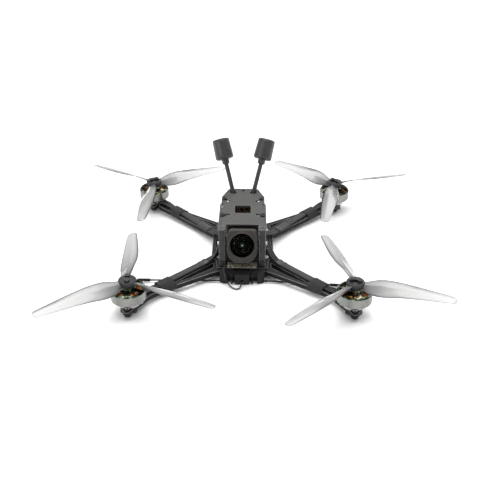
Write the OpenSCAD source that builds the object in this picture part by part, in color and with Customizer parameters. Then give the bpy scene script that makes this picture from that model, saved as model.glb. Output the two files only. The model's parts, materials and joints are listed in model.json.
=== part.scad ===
// Seven inch class fpv racing quadcopter on a carbon fibre frame.
// The front faces -Y, +Z is up, and the origin is on the ground under the centre of the frame.

/* [Layout] */
// Distance between the left and right motor axes
motor_span_x = 205.2; // [204:0.2:206]
// Distance between the front and rear motor axes
motor_span_y = 202; // [201:0.5:203]
// Turn of each rotor at rest, in the order front left, front right, rear left, rear right
rotor_rest = [95.5, -16.5, 27.5, 138]; // [-180:0.5:180]

/* [Frame plates] */
// Thickness of the battery pad under the frame
pad_t = 1.6; // [1.6:0.1:1.8]
// Thickness of the bottom and middle plates
plate_t = 2.5; // [2:0.1:2.6]
// Thickness of the four arms
arm_t = 5; // [4.5:0.5:5.5]
// Height of the gap between the middle plate and the top plate
cage_h = 40; // [39:0.5:42]
// Thickness of the top plate
top_t = 2; // [1.5:0.5:2.5]

/* [Fasteners] */
// Diameter of the frame screws
screw_d = 3; // [2.9:0.1:3]
// Diameter of a button head
head_d = 5.4; // [5:0.1:5.5]
// Diameter of the clearance holes for the frame screws
hole_d = 3.2; // [3.1:0.1:3.3]

/* [Motors] */
// Outer diameter of the bell
bell_d = 32.6; // [32.2:0.2:33]
// Height of the bell's lower rim above the arm
bell_lift = 6.2; // [6:0.1:6.4]
// Height of the bell's straight ring
bell_ring_h = 8.8; // [8.6:0.1:9]
// Diameter of the motor shaft
shaft_d = 4; // [4]
// Number of stator teeth
teeth = 12; // [12]
// Number of magnets
poles = 14; // [14]

/* [Propellers] */
// Diameter of the propellers
prop_d = 177.8; // [176:0.2:178.4]
// Distance that a propeller would advance in one turn
prop_pitch = 94; // [80:2:110]
// Diameter of the propeller hub
hub_d = 16.5; // [16:0.5:17]
// Height of the propeller hub
hub_h = 7; // [6.5:0.5:7]

/* [Camera] */
// Width of the camera housing
cam_w = 29; // [28:0.5:30]
// Height of the camera housing
cam_h = 31.8; // [31:0.2:32]
// Upward tilt of the camera at rest
cam_tilt = 22; // [0:1:38]
// Diameter of the front glass
glass_d = 22.8; // [22:0.2:23]

/* [Antennas] */
// Length of the video antenna stems
stem_l = 43; // [42:1:48]
// Diameter of the video antenna caps
cap_d = 19.2; // [18.6:0.2:19.6]
// Length of the video antenna caps
cap_l = 21.8; // [20:0.2:22]
// Diameter of the receiver antenna wire
dipole_d = 1.6; // [1.4:0.1:1.8]

/* [Hidden] */
$fn = 48;

// Heights of the layers, from the ground up
bottom_z = pad_t;
arm_z = bottom_z + plate_t;
mid_z = arm_z + arm_t;
deck_z = mid_z + plate_t;
top_z = deck_z + cage_h;
roof_z = top_z + top_t;

// Motor and propeller heights, from the top of the arm up
motor_x = motor_span_x / 2;
motor_y = motor_span_y / 2;
bell_z = mid_z + bell_lift;
ring_z = bell_z + bell_ring_h;
seat_z = ring_z + 3.4;
hub_top_z = seat_z + hub_h;
stator_z = bell_z + 0.5;
stator_h = 6.4;
stator_r = bell_d / 2 - 2.5;
magnet_r = bell_d / 2 - 2.2;
tube_r = 5.5;
bearing_r = 4.5;
prop_screw_r = 3.5;
motor_screw_r = 7.2;

// Camera pivot, on the line through both brackets
cam_y = -38;
cam_z = 35.2;
cam_back = 12;
cam_front = 14;
cam_up = 14.7;

// Hole places on one corner of the frame, as distances from the centre
stack_at = [12.75, 12.75];
front_post_at = [20, 15.5];
rear_post_at = [19.3, 19.5];
arm_screw_at = [23.4, 27];
outer_screw_at = [19.5, 38];
nose_screw_y = -41;
slot_x = 25.5;
strap_w = 20;
slot_w = 5;

// Electronics stack
esc_z = deck_z + 3.6;
fc_z = deck_z + 11.4;
board_t = 1.6;
vtx_z = deck_z + 16.4;
vtx_h = 14;
rx_z = 14.6;

// Video antennas lean outwards and back from where they leave the top plate
antenna_x = 10.8;
antenna_y = 36;
lean_out = 0.24;
lean_back = 0.476;
lean_up = 0.841;
stem_d = 4.6;
stem_below = 12;

// Receiver antenna
dipole_y = -54;
dipole_z = 2.4;

// Motor wires over a corner. A row places the middle wire, as outward x, outward y and height,
// then gives the step from it to the next wire of the bundle.
arm_step = [-1.5, 1.5, 0];
front_arm_rows = [
    [40, 37.6, 10.95, each arm_step], [45.2, 42.4, 10.8, each arm_step],
    [56, 53.2, 10.8, each arm_step], [68, 65, 10.8, each arm_step],
    [77, 74.4, 10.8, each arm_step], [81, 79, 11.5, -1.6, 1.6, 0],
    [84.5, 82.8, 12.5, -1.8, 1.8, 0], [88.4, 86.8, 13, -1.9, 1.9, 0],
    [93.6, 92.4, 12.8, -1.9, 1.9, 0]
];
front_right_rows = concat([
    [16.9, 1.2, 18, 0, 3.2, 0], [20, 1.8, 18.6, 0, 3.1, 0], [23, 4.8, 18.2, -0.9, 2.7, 0.2],
    [25.3, 10.2, 17, -1.8, 1.9, 0.3], [26.9, 15.7, 15.7, -2, 1.2, 0.3],
    [28.8, 21.9, 14.3, -2, 1.2, 0.2], [31.8, 28.2, 12.9, -1.9, 1.3, 0.1],
    [35.6, 33.2, 11.6, -1.7, 1.4, 0]
], front_arm_rows);
front_left_rows = concat([
    [16.9, 1.2, 18, 0, 3.2, 0], [19.6, 1.8, 18.5, -1.15, 1.95, 0.8],
    [21.8, 4.6, 18, -1.1, 1, 1.8], [23.7, 9, 17, -0.5, 0.55, 2.2], [24.6, 14.5, 16, 0, 0.2, 2.3],
    [25.4, 20, 15.3, -0.2, 0.3, 2.2], [27.8, 25.2, 14.5, -1.1, 1, 1.7],
    [31.6, 29.6, 12.7, -1.7, 1.4, 0.7], [35.6, 33.2, 11.6, -1.7, 1.4, 0.1]
], front_arm_rows);
rear_rows = [
    [16.9, 9.8, 18, 0, 3.2, 0], [20, 10.4, 18.6, 0, 3.1, 0], [24.2, 12.6, 17.6, -0.4, 2.7, 0],
    [28.3, 16.8, 15.7, -1.1, 2.2, 0], [32, 22.2, 13.9, -1.6, 1.7, 0],
    [35.8, 28.4, 12.4, -1.7, 1.5, 0], [40.6, 35.2, 11.4, -1.6, 1.5, 0],
    [46.6, 42.8, 10.95, each arm_step], [55, 53, 10.8, each arm_step],
    [66, 66, 10.8, each arm_step], [74, 74.6, 10.8, each arm_step],
    [78.5, 78.6, 11.2, each arm_step], [82.5, 81.8, 12.2, -1.7, 1.7, 0],
    [86.5, 85.6, 13, -1.9, 1.9, 0], [93.2, 92.2, 12.8, -1.9, 1.9, 0]
];
// Braided sleeve over the wires of an arm, and the shrink collar on its end at the body
front_sleeve = [[38.5, 36.3, 11.1], [45.2, 42.4, 10.8], [56, 53.2, 10.8], [68, 65, 10.8],
                [72, 69.2, 10.8]];
rear_sleeve = [[43.6, 39.1, 11.15], [46.6, 42.8, 10.95], [55, 53, 10.8], [66, 66, 10.8],
               [71, 71.4, 10.8]];
front_collar = [[35.6, 33.2, 11.6], [38.5, 36.3, 11.12], [41.5, 38.9, 10.95]];
rear_collar = [[35.8, 28.4, 12.4], [40.6, 35.2, 11.4], [46.6, 42.8, 10.98]];
// Where a tape wrap starts and ends along the arm, the arm's width there, and its inner edge
wrap_from = [71.26, 62.37];
wrap_to = [82.5, 73.73];
wrap_widths = [13.6, 10.5];
wire_d = 1.9;

// Coax of the receiver antenna, from its centre round the nose to the receiver
rx_lead_route = [
    [0, -58, 4.4], [-0.6, -61.5, 3.4], [-1.8, -65, 1.8], [-4.6, -66.6, 1.2], [-8.4, -65.4, 1.4],
    [-12, -62, 2.4], [-14.6, -59.6, 5], [-15.8, -58.8, 8.4], [-16.6, -57.8, 11.6],
    [-17.4, -54.4, 13.8], [-17.4, -50.8, 15.6], [-16.2, -49.3, 16.3], [-14.4, -49.2, 16.3]
];
// Coax of a video antenna, from the stem's foot to the transmitter
video_lead_route = [
    [7.9, 30.2, 43.4], [7.2, 29.4, 41], [6.8, 29.3, 38.6], [6.6, 29, 36.9], [6.5, 28.5, 36.2],
    [6.5, 27.8, 36]
];
// Cable from the back of the camera to the transmitter
camera_cable_route = [
    [0, -25.9, 30.3], [0, -24.2, 30], [0, -21.8, 31.2], [0, -20, 33.6], [0, -17.8, 35.5],
    [0, -15, 36]
];

// Helpers

function unit(v) = v / norm(v);

// Smooth curve through a list of points, in steps per span
function smooth(p, steps) = concat(
    [for (i = [0 : len(p) - 2]) for (k = [0 : steps - 1])
        let (t = k / steps, a = p[max(i - 1, 0)], b = p[i], c = p[i + 1],
             d = p[min(i + 2, len(p) - 1)])
        0.5 * (2 * b + (c - a) * t + (2 * a - 5 * b + 4 * c - d) * t * t
               + (3 * b - a - 3 * c + d) * t * t * t)],
    [p[len(p) - 1]]);

// Closed skin over a list of rings that all have the same number of points. It is capped at its
// ends, or it closes on itself, which makes a pipe from outer rings followed by inner rings.
module loft(rings, looped = false) {
    n = len(rings);
    m = len(rings[0]);
    points = [for (ring = rings) each ring];
    sides = [for (i = [0 : looped ? n - 1 : n - 2]) for (k = [0 : m - 1])
        let (a = i * m, b = ((i + 1) % n) * m, j = (k + 1) % m)
        each [[a + k, a + j, b + j], [a + k, b + j, b + k]]];
    caps = [[for (k = [m - 1 : -1 : 0]) k], [for (k = [0 : m - 1]) (n - 1) * m + k]];
    polyhedron(points, looped ? sides : concat(sides, caps));
}

// Round cord along a path; up is any direction that the path never follows
module cord(path, d, sides = 8, up = [0, 0, 1]) {
    n = len(path);
    loft([for (i = [0 : n - 1])
        let (t = unit(path[min(i + 1, n - 1)] - path[max(i - 1, 0)]),
             u = unit(cross(t, up)), v = cross(u, t))
        [for (k = [0 : sides - 1])
            path[i] + d / 2 * (cos(360 * k / sides) * u + sin(360 * k / sides) * v)]]);
}

// Puts what is drawn for the +X +Y corner on any corner
module corner(sx, sy) {
    mirror([sx < 0 ? 1 : 0, 0, 0]) mirror([0, sy < 0 ? 1 : 0, 0]) children();
}

module all_corners() {
    for (sx = [-1, 1], sy = [-1, 1]) corner(sx, sy) children();
}

module at_motor(sx, sy) {
    translate([sx * motor_x, sy * motor_y, 0]) children();
}

module all_motors() {
    for (sx = [-1, 1], sy = [-1, 1]) at_motor(sx, sy) children();
}

module both_sides() {
    for (s = [0, 1]) mirror([s, 0, 0]) children();
}

module ring(r_out, r_in, z, h) {
    translate([0, 0, z]) linear_extrude(h) difference() {
        circle(r_out);
        circle(r_in);
    }
}

module slab(z, h) {
    translate([0, 0, z]) linear_extrude(h) children();
}

module pill(a, b, d) {
    // Straight slot with round ends between two points
    l = norm(b - a);
    translate(a) rotate(atan2(b[1] - a[1], b[0] - a[0])) {
        translate([0, -d / 2]) square([l, d]);
        circle(d / 2);
        translate([l, 0]) circle(d / 2);
    }
}

module round_rect(w, l, r) {
    square([w, l - 2 * r], center = true);
    square([w - 2 * r, l], center = true);
    for (sx = [-1, 1], sy = [-1, 1]) translate([sx * (w / 2 - r), sy * (l / 2 - r)]) circle(r);
}

// Button head screw with its head at the top, under side of the head at z
module screw_down(z, l, d = screw_d, hd = head_d, hh = 1.5) {
    translate([0, 0, z - l]) cylinder(d = d, h = l);
    translate([0, 0, z]) difference() {
        cylinder(d = hd, h = hh);
        translate([0, 0, hh - 0.8]) cylinder(d = d * 0.7, h = 1, $fn = 6);
    }
}

module screw_up(z, l) {
    translate([0, 0, z]) mirror([0, 0, 1]) screw_down(0, l);
}

// Frame

module plate_outline(nose_y, tail_y) {
    half = [[14, -nose_y], [24.5, -45], [26.5, -31], [31, -23], [31, 23], [26.5, 31],
            [24.5, 44], [15, tail_y]];
    polygon(concat(half, [for (i = [len(half) - 1 : -1 : 0]) [-half[i][0], half[i][1]]]));
}

module corner_holes(places) {
    for (p = places, sx = [-1, 1]) translate([sx * p[0], p[1]]) circle(d = hole_d);
}

module lower_plate_shape(nose_y, tail_y) {
    difference() {
        plate_outline(nose_y, tail_y);
        corner_holes([stack_at, [stack_at[0], -stack_at[1]], rear_post_at,
                      [front_post_at[0], -front_post_at[1]], arm_screw_at,
                      [arm_screw_at[0], -arm_screw_at[1]], outer_screw_at,
                      [outer_screw_at[0], -outer_screw_at[1]]]);
        translate([0, nose_screw_y]) circle(d = hole_d);
        for (s = [-1, 1]) translate([s * slot_x, 0]) square([slot_w, strap_w], center = true);
        round_rect(15, 12, 3);
    }
}

module battery_pad() {
    color([0.12, 0.12, 0.12]) slab(0, pad_t) difference() {
        round_rect(32, 76, 4);
        corner_holes([[stack_at[0], -stack_at[1]], stack_at]);
        for (x = [-10 : 5 : 10]) translate([x, 28]) square([1.6, 12], center = true);
        for (p = [stack_at, [stack_at[0], -stack_at[1]]], s = [-1, 1])
            translate([s * p[0], p[1]]) circle(d = head_d + 0.8);
        translate([0, nose_screw_y]) circle(d = 8);
    }
}

module bottom_plate() {
    color([0.15, 0.15, 0.16]) slab(bottom_z, plate_t) difference() {
        lower_plate_shape(46, 52);
        for (s = [-1, 1]) translate([s * 10, 47]) circle(d = hole_d);
    }
}

module mid_plate() {
    color([0.15, 0.15, 0.16]) slab(mid_z, plate_t) lower_plate_shape(46, 44.5);
}

// Right half of the top plate's outline, from the nose to the tail
module top_plate() {
    half = [[16, -33], [16, -44.5], [22.5, -44.5], [23.3, -42], [23.3, 7.5], [22, 11], [22, 24.5],
            [15.5, 42], [13.5, 43.5], [2.2, 43.5], [1.2, 42.2]];
    color([0.3, 0.3, 0.31]) difference() {
        slab(top_z, top_t) difference() {
            polygon(concat(half, [for (i = [len(half) - 1 : -1 : 0]) [-half[i][0], half[i][1]]]));
            translate([0, -2.3]) square([16, 16], center = true);
            both_sides() {
                pill([16.8, 17.6], [14.2, 15.4], 3.4);
                pill([17.2, -14.2], [14.4, -12.6], 3.4);
                pill([20.4, 1.8], [20.4, 9.4], 1.8);
                pill([antenna_x - 0.6, antenna_y - 1.2], [antenna_x, antenna_y], 6.4);
            }
            corner_holes([rear_post_at, [front_post_at[0], -front_post_at[1]]]);
            translate([0, 39.6]) circle(d = 2.2);
        }
        both_sides() {
            translate([19.5, -38.5, top_z]) cylinder(d = 2.2, h = top_t);
            translate([19.5, -38.5, roof_z - 1]) cylinder(d1 = 2.2, d2 = 4.2, h = 1.01, $fn = 48);
        }
    }
}

// Frame of the right video antenna: local Z runs along the stem, 0 at the top plate's roof
module antenna_place() {
    turn = atan2(lean_back, lean_out);
    lean = acos(lean_up / norm([lean_out, lean_back, lean_up]));
    translate([antenna_x, antenna_y, roof_z]) rotate([0, lean, turn]) children();
}

// Outline of an arm seen from above, for the +X +Y corner
module arm_outline() {
    polygon([[9, 3.5], [24, 12], [30, 22], [60, 51], [81, 72.2], [90, 80.5], [motor_x - 7, 85.6],
             [motor_x - 5, motor_y - 11], [motor_x - 5, motor_y + 10], [95, 104.6], [85, 89.8],
             [76.5, 82], [65, 74.2], [47, 62.2], [29, 50.5], [12, 42],
             [3.5, 28], [3.5, 8]]);
    translate([motor_x, motor_y]) {
        half = [[7.6, 4.5], [7, 6.6], [5.2, 9.8], [2.8, 14], [-3.4, 14], [-5, 10], [-7.4, 6]];
        polygon(concat(half, [for (i = [len(half) - 1 : -1 : 0]) [half[i][0], -half[i][1]]]));
        for (s = [-1, 1]) translate([-0.3, s * 13.9]) circle(3.1);
    }
}

// Arm for the +X +Y corner: the front pair has one long window, the rear pair a truss
module arm(front) {
    color([0.16, 0.16, 0.17]) slab(arm_z, arm_t) difference() {
        arm_outline();
        for (p = [stack_at, front ? front_post_at : rear_post_at, arm_screw_at, outer_screw_at])
            translate(p) circle(d = hole_d);
        if (front) {
            polygon([[28.5, 32.5], [28.5, 41], [49, 58.6], [66.5, 70.6], [49.5, 53]]);
        } else {
            polygon([[28.5, 38.5], [28.5, 43.5], [51, 59.8]]);
            pill([46, 41.8], [70.6, 67], 2);
            pill([28.4, 28], [33.5, 32], 2);
        }
        pill([83.5, 82], [94.2, 91.6], 3.2);
        translate([motor_x, motor_y]) {
            circle(3.5);
            for (a = [45 : 90 : 315]) rotate(a) translate([motor_screw_r, 0]) circle(d = hole_d);
        }
    }
}

// Right camera bracket; the pivot hole runs on the camera's screw
module camera_bracket() {
    color([0.3, 0.3, 0.31]) difference() {
        translate([16.5, 0, 0]) rotate([90, 0, 90]) linear_extrude(6) difference() {
            polygon([[-43.5, top_z], [-44.5, top_z - 2], [-44.5, 20], [-42, 15], [-42, deck_z],
                     [-31, deck_z], [-31, 45], [-25, top_z - 2], [-25, top_z]]);
            translate([cam_y, cam_z]) circle(d = 2.1);
            for (z = [20, 46]) pill([-38, z - 2], [-38, z + 1], 3.4);
        }
        translate([outer_screw_at[0], -outer_screw_at[1], deck_z - 1]) cylinder(d = 3.1, h = 6);
        translate([outer_screw_at[0], -38.5, top_z - 4]) cylinder(d = 2.1, h = 5);
    }
}

module front_antenna_holder() {
    color([0.1, 0.1, 0.11]) difference() {
        union() {
            slab(0.4, deck_z - 0.4) difference() {
                polygon([[-20, -46.2], [-22, -47.3], [-22, -53], [-19, -56], [-12, -57], [-5, -58],
                         [5, -58], [12, -57], [19, -56], [22, -53], [22, -47.3], [20, -46.2]]);
                both_sides() {
                    translate([7, -60]) square([2.2, 8]);
                    translate([10.8, -60]) square([4, 8]);
                }
            }
            slab(arm_z, arm_t) translate([-6, -46.3]) square([12, 10.3]);
            both_sides() translate([8.5, -49.2, deck_z]) cube([4, 3, rx_z - deck_z]);
        }
        translate([0, nose_screw_y, 0]) cylinder(d = hole_d, h = deck_z);
        both_sides() translate([9, -60, 4]) cube([1.9, 6.5, 5.5]);
        translate([-30, dipole_y, dipole_z]) rotate([0, 90, 0]) cylinder(d = dipole_d, h = 60);
        translate([0, -59, 4.4]) rotate([-90, 0, 0]) cylinder(d = 2.4, h = 5);
    }
}

module rear_antenna_mount() {
    color([0.1, 0.1, 0.11]) difference() {
        slab(top_z - 11, 11) polygon([
            [-15, 27.5], [-2.5, 27.5], [-2.5, 32], [2.5, 32], [2.5, 27.5], [15, 27.5],
            [15, 36], [12.6, 41.8], [-12.6, 41.8], [-15, 36]]);
        both_sides() antenna_place() translate([0, 0, -20]) cylinder(d = stem_d, h = 30);
        translate([0, 39.6, top_z - 8]) cylinder(d = 2.1, h = 9);
    }
}

module standoffs() {
    color([0.2, 0.2, 0.22]) both_sides()
        for (p = [rear_post_at, [front_post_at[0], -front_post_at[1]]])
            translate(p) difference() {
                ring(2.5, 1.5, deck_z, cage_h);
                for (z = [12 : 2 : 28]) ring(2.6, 2.3, deck_z + z, 0.8);
            }
}

// Screws that clamp the arms between the bottom and middle plates
module frame_screws() {
    grip = 2 * plate_t + arm_t;
    color([0.55, 0.55, 0.56]) {
        all_corners() translate(arm_screw_at) screw_down(deck_z, grip);
        both_sides() {
            translate(outer_screw_at) screw_down(deck_z, grip);
            translate([outer_screw_at[0], -outer_screw_at[1]]) screw_up(bottom_z, grip + 4.8);
            translate(rear_post_at) screw_up(bottom_z, grip + 6);
            translate([front_post_at[0], -front_post_at[1]]) screw_up(bottom_z, grip + 6);
        }
        translate([0, nose_screw_y]) screw_down(deck_z, grip);
    }
}

module top_screws() {
    color([0.25, 0.25, 0.26]) {
        both_sides() {
            translate(rear_post_at) screw_down(roof_z, 8);
            translate([front_post_at[0], -front_post_at[1]]) screw_down(roof_z, 8);
            translate([19.5, -38.5]) {
                translate([0, 0, top_z - 3.5]) cylinder(d = 2, h = 4.6);
                translate([0, 0, roof_z - 1]) cylinder(d1 = 2, d2 = 4, h = 0.95);
            }
        }
        translate([0, 39.6]) screw_down(roof_z, 8, 2, 3.4, 0.9);
    }
}

// Electronics

module stack_screws() {
    color([0.2, 0.2, 0.21]) all_corners() translate(stack_at)
        screw_up(bottom_z, vtx_z + 3 - bottom_z);
}

// Rubber bushes that carry the boards, with a groove for each board
module stack_grommets() {
    color([0.5, 0.1, 0.1]) all_corners() translate(stack_at)
        for (z = [esc_z, fc_z])
            rotate_extrude() translate([1.5, 0]) polygon([
                [0, z - 3.6], [1.3, z - 3.6], [1.5, z - 1.6], [1.5, z], [0.5, z],
                [0.5, z + board_t], [1.5, z + board_t], [1.5, z + 3], [1.2, z + 4.1], [0, z + 4.1]]);
}

module board(w, l, r) {
    difference() {
        round_rect(w, l, r);
        all_corners() translate(stack_at) circle(2);
    }
}

module esc_board() {
    color([0.1, 0.12, 0.1]) {
        slab(esc_z, board_t) board(33, 40, 3);
        for (sx = [-1, 1], k = [-1 : 1])
            translate([sx * 6.6 - 2.6, k * 5.6 - 2.4, esc_z + board_t]) cube([5.2, 4.8, 1]);
        translate([-6, 13, esc_z + board_t]) cube([12, 6, 2]);
    }
    // Pads with the tinned wire ends that the motor wires meet
    color([0.75, 0.6, 0.3]) both_sides() for (y = [-4.4, -1.2, 2, 6.6, 9.8, 13]) {
        translate([14.6, y - 1.1, esc_z + board_t]) cube([1.8, 2.2, 0.35]);
        translate([14.8, y, esc_z + board_t + 0.9]) rotate([0, 90, 0]) cylinder(d = 1.3, h = 2.1);
    }
}

module flight_controller() {
    color([0.1, 0.14, 0.2]) {
        slab(fc_z, board_t) board(33, 33, 3);
        translate([-3.5, -3.5, fc_z + board_t]) cube([7, 7, 0.9]);
        translate([-16.9, -4.4, fc_z + board_t]) cube([7, 8.8, 3]);
        translate([6, -2, fc_z + board_t]) cube([3, 2.5, 0.8]);
    }
    // Body of the boot switch, with the well that its button slides in
    color("silver") translate([0, -12.5, fc_z + board_t]) difference() {
        translate([-2, -1.6, 0]) cube([4, 3.2, 1.2]);
        translate([0, 0, 0.4]) cylinder(d = 1.7, h = 1);
    }
}

module boot_button() {
    color("white") translate([0, -12.5, fc_z + board_t + 0.75]) cylinder(d = 1.6, h = 0.85);
}

module video_transmitter() {
    color([0.35, 0.27, 0.22]) translate([0, 5.5, 0]) difference() {
        slab(vtx_z, vtx_h) round_rect(32, 41, 2);
        for (k = [-5 : 5]) translate([k * 2.4 - 0.6, -16, vtx_z + vtx_h - 1.6]) cube([1.2, 32, 2]);
        translate([0, -5.5, vtx_z - 1]) all_corners() translate(stack_at) cylinder(d = 3.1, h = 4.5);
        translate([-16.1, 1.5, vtx_z + 6]) rotate([0, 90, 0]) cylinder(d = 2.6, h = 2.1);
        translate([-5, -21.5, vtx_z + 4]) cube([10, 2, 6.2]);
    }
    color([0.8, 0.7, 0.4]) both_sides()
        translate([6.5, 26, 36]) rotate([-90, 0, 0]) cylinder(d = 2.6, h = 1.8);
    color([0.1, 0.1, 0.1]) translate([-4, -15, 33.6]) cube([8, 1, 4.8]);
}

module link_button() {
    color("white") translate([-16.5, 7, vtx_z + 6]) rotate([0, 90, 0]) cylinder(d = 2.4, h = 1.9);
}

module receiver_board() {
    color([0.5, 0.5, 0.4]) {
        slab(rx_z, 1.2) translate([0, -46]) round_rect(29, 9, 1);
        for (x = [-11.5, -8, 3.4, 6.6, 10]) translate([x, -47.6, rx_z + 1.2]) cube([2.4, 3.4, 1.2]);
        translate([-4.6, -47.6, rx_z + 1.2]) cube([4, 4, 0.9]);
        translate([-13, -49.2, rx_z + 1.2]) cylinder(d = 2.6, h = 1);
    }
}

module capacitor() {
    color([0.12, 0.12, 0.16]) translate([-10.5, 29.4, deck_z + 5.2]) rotate([0, 90, 0]) {
        cylinder(d = 10, h = 20);
        translate([0, 0, 20]) cylinder(d = 8.6, h = 0.6);
    }
    color("silver") for (y = [-2.5, 2.5]) translate([10, 29.4 + y, deck_z + 5.2])
        rotate([0, 90, 0]) cylinder(d = 0.8, h = 3);
}

module camera_cable() {
    color([0.08, 0.08, 0.08]) cord(smooth(camera_cable_route, 3), 3, 8, [1, 0, 0]);
}

// One wire of a bundle: the index runs from -1 to 1 across it
function wire_path(rows, index) = smooth(
    [for (r = rows) [r[0], r[1], r[2]] + index * [r[3], r[4], r[5]]], 2);

module motor_wires() {
    color([0.08, 0.08, 0.08]) for (i = [-1 : 1]) {
        corner(-1, -1) cord(wire_path(front_left_rows, i), wire_d);
        corner(1, -1) cord(wire_path(front_right_rows, i), wire_d);
        for (sx = [-1, 1]) corner(sx, 1) cord(wire_path(rear_rows, i), wire_d);
    }
}

// Flat oval about a point, across the wires of an arm
function oval(p, half_w, above, below) =
    [for (q = [[1, 0], [0.96, 0.62], [0.78, 0.96], [0, 1], [-0.78, 0.96], [-0.96, 0.62],
               [-1, 0], [-0.96, -0.62], [-0.78, -0.96], [0, -1], [0.78, -0.96], [0.96, -0.62]])
        [p[0] - 0.7 * half_w * q[0], p[1] + 0.714 * half_w * q[0],
         p[2] + (q[1] > 0 ? above : below) * q[1]]];

module oval_pipe(path, outer, inner) {
    n = len(path);
    loft([for (p = path) oval(p, outer[0], outer[1], outer[2]),
          for (i = [n - 1 : -1 : 0]) oval(path[i], inner[0], inner[1], inner[2])], true);
}

module wire_sleeves() {
    color([0.12, 0.12, 0.12]) for (sx = [-1, 1]) {
        corner(sx, -1) oval_pipe(front_sleeve, [3.9, 1.55, 1.55], [3.4, 1.15, 1.15]);
        corner(sx, 1) oval_pipe(rear_sleeve, [3.9, 1.55, 1.55], [3.4, 1.15, 1.15]);
    }
}

module antenna_leads() {
    color([0.08, 0.08, 0.08]) {
        cord(smooth(rx_lead_route, 3), 1.3);
        both_sides() cord(smooth(video_lead_route, 2), 1.3, 8, [1, 0, 0]);
    }
}

// Ring round an arm of width w at its inner edge p, and over the wires that lie c from that edge.
// The wall lies between grow = 0 and grow = 1.
function wrap_ring(p, w, c, grow) =
    let (g = 0.15 + 0.6 * grow, top = 12.4 + 0.55 * grow)
    [for (q = [[-g, arm_z - 0.1 - 0.6 * grow], [w + g, arm_z - 0.1 - 0.6 * grow],
               [w + g, mid_z + 0.1], [c + 3.95 + 0.5 * grow, top - 0.5],
               [c + 3.2 + 0.2 * grow, top], [c - 3.2 - 0.2 * grow, top],
               [c - 3.95 - 0.5 * grow, top - 0.5], [-g, mid_z + 0.1]])
        [p[0] - 0.7103 * q[0], p[1] + 0.7036 * q[0], q[1]]];

// Tape wrap round an arm and its wires, which cross it at c from the arm's inner edge
module tape_wrap(c) {
    loft([wrap_ring(wrap_from, wrap_widths[0], c, 1), wrap_ring(wrap_to, wrap_widths[1], c, 1),
          wrap_ring(wrap_to, wrap_widths[1], c, 0), wrap_ring(wrap_from, wrap_widths[0], c, 0)],
         true);
}

module wire_wraps() {
    color([0.13, 0.13, 0.13]) for (sx = [-1, 1]) {
        corner(sx, -1) {
            tape_wrap(4.4);
            oval_pipe(front_collar, [4.5, 1.95, 1.75], [4.1, 1.6, 1.6]);
        }
        corner(sx, 1) {
            tape_wrap(6.5);
            oval_pipe(rear_collar, [4.5, 1.95, 1.75], [4.1, 1.6, 1.6]);
        }
    }
}

// Motors

module motor_screws() {
    color([0.2, 0.2, 0.21]) all_motors() for (a = [45 : 90 : 315])
        rotate(a) translate([motor_screw_r, 0, 0]) screw_up(arm_z, arm_t + 2.1);
}

module motor_base() {
    color([0.72, 0.73, 0.74]) difference() {
        union() {
            ring(tube_r, bearing_r, mid_z, stator_z + stator_h + 2 - mid_z);
            slab(mid_z, 2.4) {
                circle(10.6);
                for (a = [0 : 90 : 270]) rotate(a) pill([0, 0], [10.4, 0], 5);
            }
            ring(7.4, 5.5, mid_z + 2.4, stator_z - mid_z - 2.4);
        }
        translate([0, 0, mid_z - 1]) cylinder(r = 3.3, h = 8);
        translate([0, 0, mid_z + 0.9]) cylinder(r = bearing_r, h = 30);
        for (a = [45 : 90 : 315]) rotate(a) translate([motor_screw_r, 0, mid_z - 1])
            cylinder(d = 3.1, h = 4);
    }
}

module motor_bearings() {
    color([0.7, 0.7, 0.72]) all_motors() for (z = [mid_z + 0.9, stator_z + stator_h - 2])
        ring(bearing_r, shaft_d / 2 + 0.05, z, 4);
}

module motor_stators() {
    color([0.35, 0.36, 0.4]) all_motors() slab(stator_z, stator_h) {
        difference() {
            circle(7.6);
            circle(tube_r);
        }
        for (a = [0 : 360 / teeth : 359]) rotate(a) {
            translate([7.2, -0.9]) square([5.8, 1.8]);
            intersection() {
                difference() {
                    circle(stator_r);
                    circle(stator_r - 1.1);
                }
                polygon([[0, 0], [14, -3], [14, 3]]);
            }
        }
    }
}

module motor_windings() {
    color([0.75, 0.35, 0.12]) all_motors() for (a = [0 : 360 / teeth : 359]) rotate(a)
        difference() {
            slab(stator_z - 1.2, stator_h + 2.4)
                polygon([[7.8, -1.75], [12.3, -2.8], [12.3, 2.8], [7.8, 1.75]]);
            translate([7, -0.95, stator_z - 0.05]) cube([6, 1.9, stator_h + 0.1]);
        }
}

// Bell of one motor with its spokes and shaft, about its own axis
module bell(turn) {
    r = bell_d / 2;
    color([0.6, 0.62, 0.62]) rotate(turn) {
        difference() {
            rotate_extrude($fn = 96) polygon([
                [r - 1, bell_z], [r, bell_z], [r, ring_z], [r - 1.2, ring_z + 1.3],
                [7, seat_z - 1], [6.2, seat_z], [0, seat_z], [0, seat_z - 2.4],
                [6, seat_z - 2.4], [r - 1.6, ring_z + 0.1], [r - 1, ring_z - 0.4]]);
            for (a = [30 : 60 : 330]) rotate(a) slab(ring_z - 1, 5.8) intersection() {
                difference() {
                    circle(r - 2.2);
                    circle(7.6);
                }
                polygon([[3.2, 0], [15, -6.6], [15, 6.6]]);
            }
            for (s = [-1, 1]) translate([s * prop_screw_r, 0, seat_z - 4]) cylinder(d = 2.1, h = 5);
        }
        translate([0, 0, mid_z + 0.6]) cylinder(d = shaft_d, h = seat_z + 4 - mid_z - 0.6);
    }
}

module magnets(turn) {
    arc = 360 / poles - 3.4;
    color([0.8, 0.8, 0.82]) rotate(turn) for (k = [0 : poles - 1])
        rotate(k * 360 / poles) translate([0, 0, stator_z]) rotate_extrude(angle = arc)
            translate([magnet_r, 0]) square([1.2, stator_h]);
}

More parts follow.
